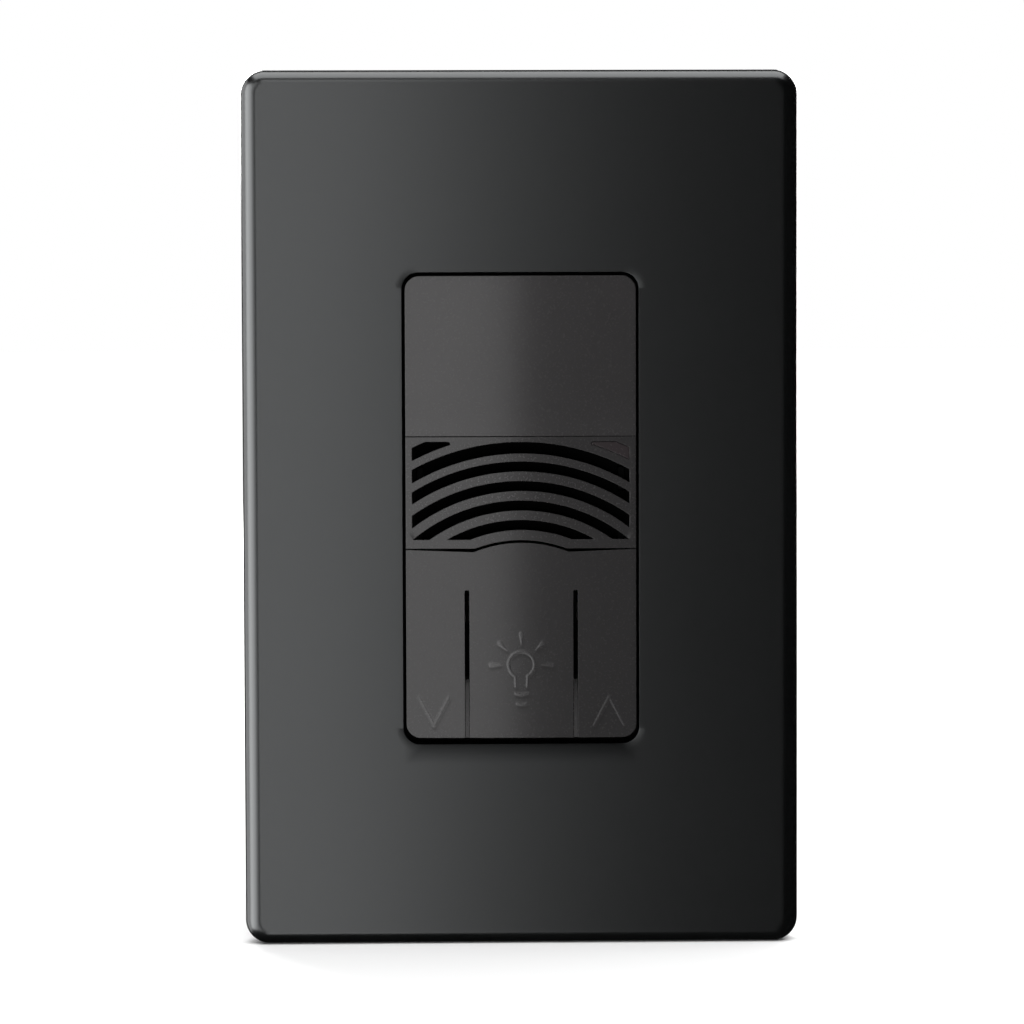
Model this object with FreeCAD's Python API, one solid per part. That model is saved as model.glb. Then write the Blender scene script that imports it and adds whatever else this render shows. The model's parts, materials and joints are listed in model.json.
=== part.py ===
"""Decorator-style wall switch: occupancy sensor, acoustic grille and three push keys in a screwless plate.

Frame, in millimetres: the wall surface is the plane Y = 0 and the room is on the -Y side.
+Z is up, +X is to the right for someone facing the switch, and the origin is the centre of
the wall plate's opening, halfway between the two wall-box screws.
"""

import FreeCAD
import Part
import math
import os

V = FreeCAD.Vector

# ---------------------------------------------------------------- driving dimensions
# Screwless wall plate
PLATE_W = 78.8
PLATE_H = 124.0
PLATE_DEPTH = 6.4
PLATE_WALL = 1.9
PLATE_CORNER_R = 3.4
PLATE_EDGE_R = 2.3
OPENING_W = 33.3
OPENING_H = 66.7
OPENING_R = 2.3

# Insert: the lens, grille and keys that fill the opening
INSERT_W = 32.56
INSERT_TOP = 32.9
INSERT_FOOT = -32.4  # a wider gap is left below, so that the keys swing clear of the plate
INSERT_R = 2.0
INSERT_EDGE_R = 0.5
INSERT_FRONT = -8.0  # foremost line of the crowned face, at X = 0
CROWN = 0.5  # how far the face falls back at its sides
INSERT_BACK = -6.4  # back of the face wall
SKIRT_BACK = -5.6
SKIRT_T = 1.2

# Levels that divide the insert
SEAM_LENS = 10.28  # between lens and grille
SEAM_HALF_GAP = 0.04
GRILLE_BOTTOM = -5.56
BRIDGE_TOP_SIDE = -5.68  # the seam under the grille widens towards the bump
BRIDGE_TOP_MID = -6.03
BRIDGE_MID_X = 6.6
HINGE_Z = -11.5  # top end of the slits, where the keys flex
KEY_TOP_GAP = 0.02
SLIT_X = 7.68
SLIT_W = 0.67
KEY_RELIEF_DEG = 2.5  # the key's top end leans back by this much, so it can swing

# Acoustic grille: concentric slots centred on the lamp symbol
ARC_CENTRE_Z = -22.58
ARC_OUTER_R = 34.83
ARC_PITCH = 2.755
ARC_SLOTS = 6
ARC_SLOT_W = 1.35
CORNER_SLOT_W = 1.59
CORNER_SLOT_END = 9.94
SLOT_HALF_SPAN = 15.36
SLOT_BOTTOM = -4.27
SLOT_TOP = 9.53
BUMP_R = 17.86
BUMP_GAP = 0.35

# Mounting strap
STRAP_W = 43.4
STRAP_H = 106.4
STRAP_T = 1.4
STRAP_WINDOW_W = 30.5
STRAP_WINDOW_H = 62.0
BOX_SCREW_SPACING = 83.34
PLATE_SCREW_SPACING = 96.84
SCREW_R = 1.75  # number 6 machine screw
SCREW_CLEAR = 0.05
NECK_R = 1.55  # unthreaded neck of the captive box screws
NECK_BACK = 0.5
BOX_HEAD_R = 3.4
BOX_HEAD_H = 2.6
PLATE_HEAD_R = 3.0
PLATE_HEAD_H = 1.1

# Front frame
FLANGE_W = 43.4
FLANGE_H = 70.0
FLANGE_T = 2.0
COLLAR_T = 1.5
BOSS_X = 17.9
BOSS_Z = 30.0
BOSS_R = 2.0

# Plate subframe
SUBFRAME_T = 1.6
SUBFRAME_CLEAR = 1.1
SUBFRAME_WINDOW_W = 44.6
SUBFRAME_WINDOW_H = 71.2
LATCH_W = 8.0
LATCH_T = 1.2
BARB = 0.5

# Rear housing
HOUSING_W = 43.4
HOUSING_H = 69.0
HOUSING_DEPTH = 34.6
HOUSING_WALL = 1.7
POCKET_DEPTH = 5.2
POCKET_H = 10.4
POCKET_FRONT = 12.6
POCKET_ZS = {"left": (16.0, -4.0), "right": (16.0,)}

# Boards
BOARD_T = 1.6
BOARD_W = 39.0
BOARD_H = 64.0
SENSOR_BOARD_Y = 1.6
POWER_BOARD_Y = 9.2

# Key switches
TACT_X = 11.6
TACT_Z = -24.0
TACT_SIDE = 6.2
TACT_H = 3.5
PLUNGER_R = 1.75
PLUNGER_TIP = -3.4
PLUNGER_TAIL = -0.9

# Adjustment dials
DIAL_X = 7.0
DIAL_Z = -15.9
DIAL_R = 2.6

# ---------------------------------------------------------------- derived levels
INSERT_H = INSERT_TOP - INSERT_FOOT
INSERT_Z = (INSERT_TOP + INSERT_FOOT) / 2
STRAP_FRONT = -STRAP_T
FLANGE_FRONT = STRAP_FRONT - FLANGE_T
SUBFRAME_FRONT = STRAP_FRONT - SUBFRAME_T
PLATE_FRONT = -PLATE_DEPTH
PLATE_INNER = PLATE_FRONT + PLATE_WALL
COLLAR_FRONT = SKIRT_BACK + 0.05
KEY_COLLAR_FRONT = -4.7
CROWN_R = ((INSERT_W / 2) ** 2 + CROWN**2) / (2 * CROWN)
SENSOR_BOARD_BACK = SENSOR_BOARD_Y + BOARD_T
POWER_BOARD_BACK = POWER_BOARD_Y + BOARD_T
HOUSING_INNER_BACK = HOUSING_DEPTH - HOUSING_WALL


# ---------------------------------------------------------------- helpers
def box(x0, x1, y0, y1, z0, z1):
    """A block between two opposite corners."""
    return Part.makeBox(x1 - x0, y1 - y0, z1 - z0, V(x0, y0, z0))


def rod_y(x, z, r, y0, y1):
    """A cylinder along Y."""
    return Part.makeCylinder(r, y1 - y0, V(x, y0, z), V(0, 1, 0))


def rod_x(y, z, r, x0, x1):
    """A cylinder along X."""
    return Part.makeCylinder(r, x1 - x0, V(x0, y, z), V(1, 0, 0))


def cone_y(x, z, r0, r1, y0, y1):
    """A cone along Y, with radius r0 at y0 and r1 at y1."""
    return Part.makeCone(r0, r1, y1 - y0, V(x, y0, z), V(0, 1, 0))


def rounded_block(w, h, r, y0, y1, x=0.0, z=0.0):
    """A block centred on (x, z) whose four edges along Y are rounded."""
    block = box(x - w / 2, x + w / 2, y0, y1, z - h / 2, z + h / 2)
    edges = [e for e in block.Edges if abs(e.Length - (y1 - y0)) < 1e-6 and runs_along_y(e)]
    return block.makeFillet(r, edges)


def runs_along_y(edge):
    a, b = edge.Vertexes[0].Point, edge.Vertexes[-1].Point
    return abs(a.x - b.x) < 1e-6 and abs(a.z - b.z) < 1e-6


def slot_block(length, width, y0, y1, x, z):
    """A slot with round ends that runs along X."""
    return rounded_block(length, width, width / 2 - 1e-3, y0, y1, x, z)


def extrude_yz(points, x0, x1):
    """A prism along X whose outline is given as (y, z) points."""
    wire = Part.makePolygon([V(x0, y, z) for y, z in [*points, points[0]]])
    return Part.Face(wire).extrude(V(x1 - x0, 0, 0))


def extrude_xz(points, y0, y1):
    """A prism along Y whose outline is given as (x, z) points."""
    wire = Part.makePolygon([V(x, y0, z) for x, z in [*points, points[0]]])
    return Part.Face(wire).extrude(V(0, y1 - y0, 0))


def ring_y(x, z, r_out, r_in, y0, y1):
    return rod_y(x, z, r_out, y0, y1).cut(rod_y(x, z, r_in, y0 - 1, y1 + 1))


def fuse(first, *others):
    return first.multiFuse(list(others)).removeSplitter() if others else first


def mirror_x(shape):
    return shape.mirror(V(0, 0, 0), V(1, 0, 0))


def both_sides(shape):
    return [shape, mirror_x(shape)]


def save(name, shape):
    """Writes one sub-part, as one solid or as a group of separate solids."""
    solids = shape.Solids
    for solid in solids:
        if not solid.isValid() or solid.Volume <= 0:
            raise ValueError(f"{name} has a bad solid")
    print(f"{name:26s} solids {len(solids):2d}  volume {sum(s.Volume for s in solids):9.2f}")
    out = solids[0] if len(solids) == 1 else Part.makeCompound(solids)
    out.exportStep(f"parts/{name}.step")


# ---------------------------------------------------------------- wall plate
LATCHES_END = (-22.0, 22.0)  # X of the latches on the top and bottom edges
LATCHES_SIDE = (-34.0, 34.0)  # Z of the latches on the long edges


def inner_half(size):
    """Half the inside width or height of the plate's shell."""
    return size / 2 - PLATE_WALL


def wall_plate():
    shell = rounded_block(PLATE_W, PLATE_H, PLATE_CORNER_R, PLATE_FRONT, 0)
    front = [e for e in shell.Edges if all(abs(v.Point.y - PLATE_FRONT) < 1e-6 for v in e.Vertexes)]
    shell = shell.makeFillet(PLATE_EDGE_R, front)
    inner_r = PLATE_CORNER_R - PLATE_WALL
    cavity_w, cavity_h = PLATE_W - 2 * PLATE_WALL, PLATE_H - 2 * PLATE_WALL
    shell = shell.cut(rounded_block(cavity_w, cavity_h, inner_r, PLATE_INNER, 1))

    rim_t, rim_back = 1.2, FLANGE_FRONT - 0.3
    rim = rounded_block(OPENING_W + 2 * rim_t, OPENING_H + 2 * rim_t, OPENING_R + rim_t,
                        PLATE_INNER - 0.1, rim_back)
    shell = shell.fuse(rim)
    shell = shell.cut(rounded_block(OPENING_W, OPENING_H, OPENING_R, PLATE_FRONT - 1, rim_back + 1))

    # Stiffening ribs between the opening's rim and the shell's walls
    rib_t, rib_back = 1.0, SUBFRAME_FRONT - 1.35
    ribs = [box(x - rib_t / 2, x + rib_t / 2, PLATE_INNER - 0.1, rib_back,
                OPENING_H / 2 + rim_t - 0.2, inner_half(PLATE_H) - 3.0) for x in (-12.0, 12.0)]
    ribs += [r.mirror(V(0, 0, 0), V(0, 0, 1)) for r in ribs]

    # Catch ledges that the subframe's latches snap over
    ledge = 0.45
    for x in LATCHES_END:
        ribs.append(box(x - LATCH_W / 2, x + LATCH_W / 2, -2.7, -1.9,
                        inner_half(PLATE_H) - ledge, inner_half(PLATE_H) + 0.1))
        ribs.append(ribs[-1].mirror(V(0, 0, 0), V(0, 0, 1)))
    for z in LATCHES_SIDE:
        ribs.append(box(inner_half(PLATE_W) - ledge, inner_half(PLATE_W) + 0.1, -2.7, -1.9,
                        z - LATCH_W / 2, z + LATCH_W / 2))
        ribs.append(mirror_x(ribs[-1]))
    shell = fuse(shell, *ribs)

    # Pry notch in the lower edge, for a screwdriver
    notch_w, notch_depth = 7.0, 1.3
    return shell.cut(box(-notch_w / 2, notch_w / 2, -notch_depth, 1, -PLATE_H / 2 - 1,
                         -PLATE_H / 2 + PLATE_WALL + 0.05))


def plate_subframe():
    outer_w = 2 * inner_half(PLATE_W) - 2 * SUBFRAME_CLEAR
    outer_h = 2 * inner_half(PLATE_H) - 2 * SUBFRAME_CLEAR
    frame = rounded_block(outer_w, outer_h, 1.6, SUBFRAME_FRONT, STRAP_FRONT)
    rim_t = 1.4
    skirt = rounded_block(outer_w, outer_h, 1.6, STRAP_FRONT - 0.1, 0)
    skirt = skirt.cut(rounded_block(outer_w - 2 * rim_t, outer_h - 2 * rim_t, 1.0, -3, 1))
    window = rounded_block(SUBFRAME_WINDOW_W, SUBFRAME_WINDOW_H, 2.0, -5, 1)

    latches = []
    tip, barb_back = PLATE_INNER + 0.3, -3.5
    for x in LATCHES_END:
        z = outer_h / 2
        latches.append(box(x - LATCH_W / 2, x + LATCH_W / 2, tip, SUBFRAME_FRONT + 0.1, z - LATCH_T, z))
        latches.append(extrude_yz([(tip, z - 0.1), (barb_back, z + BARB), (SUBFRAME_FRONT, z - 0.1)],
                                  x - LATCH_W / 2, x + LATCH_W / 2))
    latches += [s.mirror(V(0, 0, 0), V(0, 0, 1)) for s in latches]
    side = []
    for z in LATCHES_SIDE:
        x = outer_w / 2
        side.append(box(x - LATCH_T, x, tip, SUBFRAME_FRONT + 0.1, z - LATCH_W / 2, z + LATCH_W / 2))
        barb = Part.Face(Part.makePolygon([V(x - 0.1, tip, z - LATCH_W / 2),
                                           V(x + BARB, barb_back, z - LATCH_W / 2),
                                           V(x - 0.1, SUBFRAME_FRONT, z - LATCH_W / 2),
                                           V(x - 0.1, tip, z - LATCH_W / 2)]))
        side.append(barb.extrude(V(0, 0, LATCH_W)))
    side += [mirror_x(s) for s in side]
    frame = fuse(frame, skirt, *latches, *side).cut(window)

    for sign in (-1, 1):
        z = sign * PLATE_SCREW_SPACING / 2
        frame = frame.cut(rod_y(0, z, SCREW_R + 0.3, -5, 1))
        frame = frame.cut(rod_y(0, sign * BOX_SCREW_SPACING / 2, BOX_HEAD_R + 0.3, -5, 1))
        # Lightening slots beside the screws
        for x in (-20.0, 20.0):
            frame = frame.cut(slot_block(16.0, 5.0, -5, 1, x, sign * 47.0))
    return frame


def cross_slot(x, z, y0, y1, arm=2.0, width=0.7):
    """The cutter for a cross-shaped driver recess that opens along Y."""
    return fuse(box(x - arm, x + arm, y0, y1, z - width / 2, z + width / 2),
                box(x - width / 2, x + width / 2, y0, y1, z - arm, z + arm))


def plate_screws():
    screws = []
    for sign in (-1, 1):
        z = sign * PLATE_SCREW_SPACING / 2
        top = SUBFRAME_FRONT - PLATE_HEAD_H
        head = rod_y(0, z, PLATE_HEAD_R, top, SUBFRAME_FRONT)
        head = head.makeFillet(0.5, [e for e in head.Edges if abs(e.CenterOfMass.y - top) < 1e-6])
        shank = rod_y(0, z, SCREW_R, SUBFRAME_FRONT - 0.1, 5.0)
        tip = cone_y(0, z, SCREW_R, 1.0, 5.0, 6.0)
        screw = fuse(head, shank, tip)
        screws.append(screw.cut(box(-4, 4, top - 1, top + 0.6, z - 0.45, z + 0.45)))
    return Part.makeCompound(screws)


# ---------------------------------------------------------------- strap and its fasteners
GROUND_TAB_X = -STRAP_W / 2
GROUND_TAB_Z = -41.5
GROUND_SCREW_Y = 6.0


def mounting_strap():
    strap = rounded_block(STRAP_W, STRAP_H, 3.0, STRAP_FRONT, 0)
    strap = strap.cut(rounded_block(STRAP_WINDOW_W, STRAP_WINDOW_H, 1.5, -5, 1))
    for sign in (-1, 1):
        strap = strap.cut(rod_y(0, sign * PLATE_SCREW_SPACING / 2, SCREW_R + SCREW_CLEAR, -5, 1))
        strap = strap.cut(slot_block(6.6, 2 * SCREW_R + 0.5, -5, 1, 0, sign * BOX_SCREW_SPACING / 2))
        for x in (-1, 1):
            strap = strap.cut(rod_y(x * BOSS_X, sign * BOSS_Z, BOSS_R + 0.2, -5, 1))
            # Scored lines and a cut-out where an ear snaps off
            ear_x, ear_z = x * 14.6, sign * 49.0
            strap = strap.cut(box(min(ear_x, x * 22), max(ear_x, x * 22), STRAP_FRONT - 1,
                                  STRAP_FRONT + 0.5, ear_z - 0.3, ear_z + 0.3))
            strap = strap.cut(rod_y(x * 10.5, sign * 47.2, 1.6, -5, 1))
    tab_t, tab_h = 1.4, 11.0
    tab = box(GROUND_TAB_X, GROUND_TAB_X + tab_t, -0.1, 11.0,
              GROUND_TAB_Z - tab_h / 2, GROUND_TAB_Z + tab_h / 2)
    tab = tab.makeFillet(2.5, [e for e in tab.Edges if abs(e.Length - tab_t) < 1e-6
                               and e.Vertexes[0].Point.y > 5])
    return fuse(strap, tab).cut(rod_x(GROUND_SCREW_Y, GROUND_TAB_Z, 1.8, -30, 0))


def mounting_screws():
    """Two captive wall-box screws, round-headed, one inch long."""
    end = STRAP_FRONT + 25.4
    top = STRAP_FRONT - BOX_HEAD_H
    screws = []
    for sign in (-1, 1):
        z = sign * BOX_SCREW_SPACING / 2
        head = rod_y(0, z, BOX_HEAD_R, top, STRAP_FRONT)
        head = head.makeFillet(1.4, [e for e in head.Edges if abs(e.CenterOfMass.y - top) < 1e-6])
        neck = rod_y(0, z, NECK_R, STRAP_FRONT - 0.1, NECK_BACK)
        thread = rod_y(0, z, SCREW_R, NECK_BACK, end - 1.2)
        tip = cone_y(0, z, SCREW_R, 1.0, end - 1.2, end)
        screw = fuse(head, neck, thread, tip)
        slot = box(-5, 5, top - 1, top + 1.1, z - 0.45, z + 0.45)
        cross = box(-0.5, 0.5, top - 1, top + 1.4, z - 2.2, z + 2.2)
        screws.append(screw.cut(slot).cut(cross))
    return Part.makeCompound(screws)


def screw_retainers():
    """Fibre washers on the screw necks that keep the screws in the strap."""
    side, thick = 9.0, 0.42
    washers = []
    for sign in (-1, 1):
        z = sign * BOX_SCREW_SPACING / 2
        washer = rounded_block(side, side, 1.0, 0.02, thick, 0, z)
        washers.append(washer.cut(rod_y(0, z, NECK_R + 0.02, -1, 3)))
    return Part.makeCompound(washers)


def ground_screw():
    head_r, head_h = 3.9, 2.2
    x_out = GROUND_TAB_X - head_h - 0.4
    head = rod_x(GROUND_SCREW_Y, GROUND_TAB_Z, head_r, x_out, x_out + head_h)
    # Hexagonal head with a slot
    hexagon = Part.makePolygon([V(x_out, GROUND_SCREW_Y + head_r * math.cos(math.radians(a)),
                                  GROUND_TAB_Z + head_r * math.sin(math.radians(a)))
                                for a in range(0, 361, 60)])
    head = head.common(Part.Face(hexagon).extrude(V(head_h, 0, 0)))
    shank = rod_x(GROUND_SCREW_Y, GROUND_TAB_Z, SCREW_R, x_out + head_h - 0.1, GROUND_TAB_X + 5.5)
    slot = box(x_out - 1, x_out + 0.9, GROUND_SCREW_Y - 5, GROUND_SCREW_Y + 5,
               GROUND_TAB_Z - 0.5, GROUND_TAB_Z + 0.5)
    return fuse(head, shank).cut(slot)


# ---------------------------------------------------------------- front frame
def front_frame():
    flange = rounded_block(FLANGE_W, FLANGE_H, 2.0, FLANGE_FRONT, STRAP_FRONT)
    collar = rounded_block(INSERT_W, INSERT_H, INSERT_R, COLLAR_FRONT, FLANGE_FRONT + 0.1, z=INSERT_Z)
    low = box(-INSERT_W, INSERT_W, COLLAR_FRONT - 1, KEY_COLLAR_FRONT, -INSERT_H, HINGE_Z + 0.4)
    body = fuse(flange, collar.cut(low))
    half_w = INSERT_W / 2 - COLLAR_T
    body = body.cut(rounded_block(2 * half_w, INSERT_H - 2 * COLLAR_T, 0.8, -9, 1, z=INSERT_Z))

    walls = [
        box(-half_w - 0.1, half_w + 0.1, COLLAR_FRONT, FLANGE_FRONT, SEAM_LENS - 0.6, SEAM_LENS + 0.6),
        box(-half_w - 0.1, half_w + 0.1, COLLAR_FRONT, FLANGE_FRONT, -10.5, -6.6),
        box(-half_w - 0.1, half_w + 0.1, -4.6, STRAP_FRONT, -30.4, -29.2),
    ]
    # Fins that stand in the two slits and ramp up to the face at the bottom
    fin_half = SLIT_W / 2 - 0.12
    foot = INSERT_FOOT + 0.05
    ramp = [(-3.5, -23.6), (-6.1, -23.6), (-7.7, foot + 0.3), (-4.6, foot), (-3.5, foot)]
    stub = [(-3.5, -16.3), (-5.5, -16.3), (-5.5, -10.4), (-3.5, -10.4)]
    for x in (-SLIT_X, SLIT_X):
        walls.append(extrude_yz(ramp, x - fin_half, x + fin_half))
        walls.append(extrude_yz(stub, x - fin_half, x + fin_half))
    # Bosses that pass through the strap and take the housing screws
    for x in (-BOSS_X, BOSS_X):
        for z in (-BOSS_Z, BOSS_Z):
            walls.append(rod_y(x, z, BOSS_R, STRAP_FRONT - 0.1, 5.0))
    body = fuse(body, *walls)
    for x in (-BOSS_X, BOSS_X):
        for z in (-BOSS_Z, BOSS_Z):
            body = body.cut(rod_y(x, z, 1.3, -2.6, 6))
    for x in (-PEG_X, PEG_X):
        body = body.cut(rod_y(x, PEG_Z, PEG_R + 0.05, -7, 1))
    return body


# ---------------------------------------------------------------- insert: lens, grille, bridge, keys
PEG_X, PEG_Z, PEG_R = 11.0, -8.6, 1.1
LEG_Z_LENS = (14.5, 27.5)
LEG_Z_GRILLE = (-3.5, 4.3)


def insert_block():
    """The whole crowned face with its rounded outer edge, before it is divided."""
    block = rounded_block(INSERT_W, INSERT_H, INSERT_R, INSERT_FRONT - 1, SKIRT_BACK, z=INSERT_Z)
    crown = Part.makeCylinder(CROWN_R, INSERT_H + 10, V(0, INSERT_FRONT + CROWN_R, -INSERT_H / 2 - 5))
    block = block.common(crown)
    rim = [e for e in block.Edges if max(v.Point.y for v in e.Vertexes) < INSERT_FRONT + CROWN + 0.1]
    return block.makeFillet(INSERT_EDGE_R, rim)


def insert_shell(block):
    """The face wall with a skirt round the outside."""
    inside = rounded_block(INSERT_W - 2 * SKIRT_T, INSERT_H - 2 * SKIRT_T, 0.9,
                           INSERT_BACK, SKIRT_BACK + 1, z=INSERT_Z)
    return block.cut(inside)


def snap_legs(zs):
    """Hooked legs that hold a cap behind the frame's flange."""
    x_out = INSERT_W / 2 - COLLAR_T - 0.1
    legs = []
    for z in zs:
        leg = box(x_out - 0.9, x_out, INSERT_BACK - 0.4, -0.7, z - 1.6, z + 1.6)
        hook = box(x_out - 0.1, x_out + 0.25, -1.3, -0.7, z - 1.6, z + 1.6)
        legs += both_sides(fuse(leg, hook))
    return legs


def sensor_lens(block):
    cap = block.common(box(-30, 30, -12, 0, SEAM_LENS + SEAM_HALF_GAP, 40))
    wall = 0.8
    thin = Part.makeCylinder(CROWN_R - wall, INSERT_H + 10,
                             V(0, INSERT_FRONT + CROWN_R, -INSERT_H / 2 - 5))
    inside = rounded_block(INSERT_W - 2 * SKIRT_T, INSERT_H - 2 * SKIRT_T, 0.9, INSERT_FRONT - 1,
                           SKIRT_BACK + 1, z=INSERT_Z).common(thin)
    inside = inside.common(box(-30, 30, -12, 0, SEAM_LENS + 1.0, 40))
    cap = cap.cut(inside)
    # Rows of shallow lenslets on the inner surface
    bump, lens_r = 0.3, 9.0
    lenslets = []
    for z in (15.0, 21.5, 28.0):
        for x in (-11.2, -5.6, 0.0, 5.6, 11.2):
            surface = INSERT_FRONT + CROWN_R - math.sqrt((CROWN_R - wall) ** 2 - x**2)
            ball = Part.makeSphere(lens_r, V(x, surface + bump - lens_r, z))
            lenslets.append(ball.common(box(x - 2.6, x + 2.6, surface - 0.2, surface + 1,
                                            z - 2.9, z + 2.9)))
    return fuse(cap, *lenslets, *snap_legs(LEG_Z_LENS))


def arc_band(outer_r, width, y0, y1):
    """A ring about the grille's arc centre."""
    return ring_y(0, ARC_CENTRE_Z, outer_r, outer_r - width, y0, y1)


def slot_window(y0, y1):
    return box(-SLOT_HALF_SPAN, SLOT_HALF_SPAN, y0, y1, SLOT_BOTTOM, SLOT_TOP)


def corner_slot(y0, y1, shrink=0.0):
    """The short slot in the grille's upper right corner."""
    band = arc_band(ARC_OUTER_R - shrink, CORNER_SLOT_W - 2 * shrink, y0, y1)
    window = box(CORNER_SLOT_END + shrink, SLOT_HALF_SPAN - shrink, y0, y1, 0, SLOT_TOP - shrink)
    return band.common(window)


def grille(shell):
    prism = box(-30, 30, -12, 0, GRILLE_BOTTOM, SEAM_LENS - SEAM_HALF_GAP)
    prism = prism.cut(rod_y(0, ARC_CENTRE_Z, BUMP_R + BUMP_GAP, -13, 1))
    cap = shell.common(prism)
    for k in range(1, ARC_SLOTS):
        band = arc_band(ARC_OUTER_R - k * ARC_PITCH, ARC_SLOT_W, -12, 0)
        cap = cap.cut(band.common(slot_window(-12, 0)))
    cap = cap.cut(corner_slot(-12, 0)).cut(mirror_x(corner_slot(-12, 0)))
    return fuse(cap, *snap_legs(LEG_Z_GRILLE))


def status_window():
    """Tinted light pipe whose face fills the upper right corner slot, just under flush."""
    face = corner_slot(INSERT_FRONT - 1, INSERT_BACK + 0.1, shrink=0.04)
    sunk = Part.makeCylinder(CROWN_R - 0.12, INSERT_H + 10,
                             V(0, INSERT_FRONT + CROWN_R, -INSERT_H / 2 - 5))
    stem = rod_y(LED_X, LED_Z, STEM_R, INSERT_BACK + 0.05, -4.7)
    return fuse(face.common(sunk), stem)


def acoustic_mesh():
    """Black scrim behind the grille, notched for the light pipe and the snap legs."""
    half = INSERT_W / 2 - SKIRT_T - 0.15
    cloth = box(-half, half, INSERT_BACK + 0.15, -6.05, GRILLE_BOTTOM + 0.9, SEAM_LENS - 0.7)
    cloth = cloth.cut(rod_y(LED_X, LED_Z, STEM_R + 0.15, -8, 0))
    notch_x = INSERT_W / 2 - COLLAR_T - 1.1
    for z in LEG_Z_GRILLE:
        for x in (-1, 1):
            cloth = cloth.cut(box(min(x * notch_x, x * 16), max(x * notch_x, x * 16), -8, 0,
                                  z - 1.8, z + 1.8))
    return cloth


def key_bridge(shell):
    """Fixed band above the keys. The keys flex where they meet it."""
    side = INSERT_W / 2
    prism = extrude_xz([(-side, HINGE_Z), (side, HINGE_Z), (side, BRIDGE_TOP_SIDE),
                        (BRIDGE_MID_X, BRIDGE_TOP_MID), (-BRIDGE_MID_X, BRIDGE_TOP_MID),
                        (-side, BRIDGE_TOP_SIDE)], -12, 0)
    lower = box(-SLIT_X, SLIT_X, -12, 0, HINGE_Z, BRIDGE_TOP_MID + 3)
    bump = rod_y(0, ARC_CENTRE_Z, BUMP_R, -12, 0).common(lower)
    cap = shell.common(fuse(prism, bump))
    pegs = [rod_y(x, PEG_Z, PEG_R, INSERT_BACK - 0.2, -2.2) for x in (-PEG_X, PEG_X)]
    return fuse(cap, *pegs)


def key_prism(x0, x1):
    """What one key takes from the shell: its top end leans back so that it can swing."""
    lean = math.tan(math.radians(KEY_RELIEF_DEG))
    front, back = -12.0, 0.0
    top = HINGE_Z - KEY_TOP_GAP
    points = [(front, top - lean * (front - INSERT_FRONT)), (back, top - lean * (back - INSERT_FRONT)),
              (back, -40), (front, -40)]
    return extrude_yz(points, x0, x1)


def key_body(shell, x0, x1, press_x):
    """One key: face, skirts along the slits, and the post that presses its switch."""
    parts = [shell]
    skirt_t = 1.0
    for edge, inward in ((x0, 1), (x1, -1)):
        if abs(edge) < INSERT_W / 2 - 1:
            a, b = sorted((edge, edge + inward * skirt_t))
            parts.append(box(a, b, INSERT_BACK - 0.1, SKIRT_BACK, INSERT_FOOT + 0.7, HINGE_Z - 1.2))
    key = fuse(*parts).common(key_prism(x0, x1))
    post = box(press_x - 1.5, press_x + 1.5, INSERT_BACK - 0.1, PLUNGER_TIP - 0.05,
               TACT_Z - 1.5, TACT_Z + 1.5)
    rib = box(press_x - 0.5, press_x + 0.5, INSERT_BACK - 0.1, SKIRT_BACK, -30.6, -13.0)
    return fuse(key, post, rib)


def thick_line(x0, z0, x1, z1, width, y0, y1):
    """A straight raised stroke with round ends, drawn on the XZ plane."""
    length = math.hypot(x1 - x0, z1 - z0)
    nx, nz = -(z1 - z0) / length * width / 2, (x1 - x0) / length * width / 2
    bar = extrude_xz([(x0 + nx, z0 + nz), (x1 + nx, z1 + nz), (x1 - nx, z1 - nz), (x0 - nx, z0 - nz)],
                     y0, y1)
    return fuse(bar, rod_y(x0, z0, width / 2, y0, y1), rod_y(x1, z1, width / 2, y0, y1))


EMBOSS = 0.12
STROKE = 0.6
LAMP_Z = -21.98
CHEVRON_X = 12.43
CHEVRON_LOW, CHEVRON_HIGH = -30.6, -26.6


def emboss(symbol, key):
    """Raises a symbol by EMBOSS above the crowned face of a key."""
    raised = Part.makeCylinder(CROWN_R + EMBOSS, INSERT_H + 10,
                               V(0, INSERT_FRONT + CROWN_R, -INSERT_H / 2 - 5))
    return fuse(key, symbol.common(raised))


def chevron(x, tip_z, open_z):
    """A dimming arrow whose two strokes meet at tip_z."""
    half, y0, y1 = 2.0, INSERT_FRONT - 1, INSERT_BACK - 0.3
    return fuse(thick_line(x - half, open_z, x, tip_z, STROKE, y0, y1),
                thick_line(x + half, open_z, x, tip_z, STROKE, y0, y1))


def lamp_symbol():
    """A round bulb with a neck, a base and five rays."""
    y0, y1 = INSERT_FRONT - 1, INSERT_BACK - 0.3
    z = LAMP_Z
    bulb_r, neck_half, neck_z = 2.16, 0.85, z - 3.1
    bulb = ring_y(0, z, bulb_r, bulb_r - STROKE, y0, y1)
    gap = box(-neck_half, neck_half, y0 - 1, y1 + 1, z - bulb_r - 1, z - 1.2)
    pieces = [bulb.cut(gap)]
    start_z = z - math.sqrt((bulb_r - STROKE / 2) ** 2 - neck_half**2)
    for x in (-neck_half, neck_half):
        pieces.append(thick_line(x, start_z, x, neck_z, STROKE, y0, y1))
    pieces.append(thick_line(-neck_half, neck_z - 1.0, neck_half, neck_z - 1.0, STROKE, y0, y1))
    pieces.append(thick_line(-0.55, neck_z - 2.1, 0.55, neck_z - 2.1, STROKE, y0, y1))
    for angle in (0, 45, 90, 135, 180):
        c, s = math.cos(math.radians(angle)), math.sin(math.radians(angle))
        pieces.append(thick_line(3.05 * c, z + 3.05 * s, 4.45 * c, z + 4.45 * s, STROKE, y0, y1))
    return Part.makeCompound(pieces)


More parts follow.
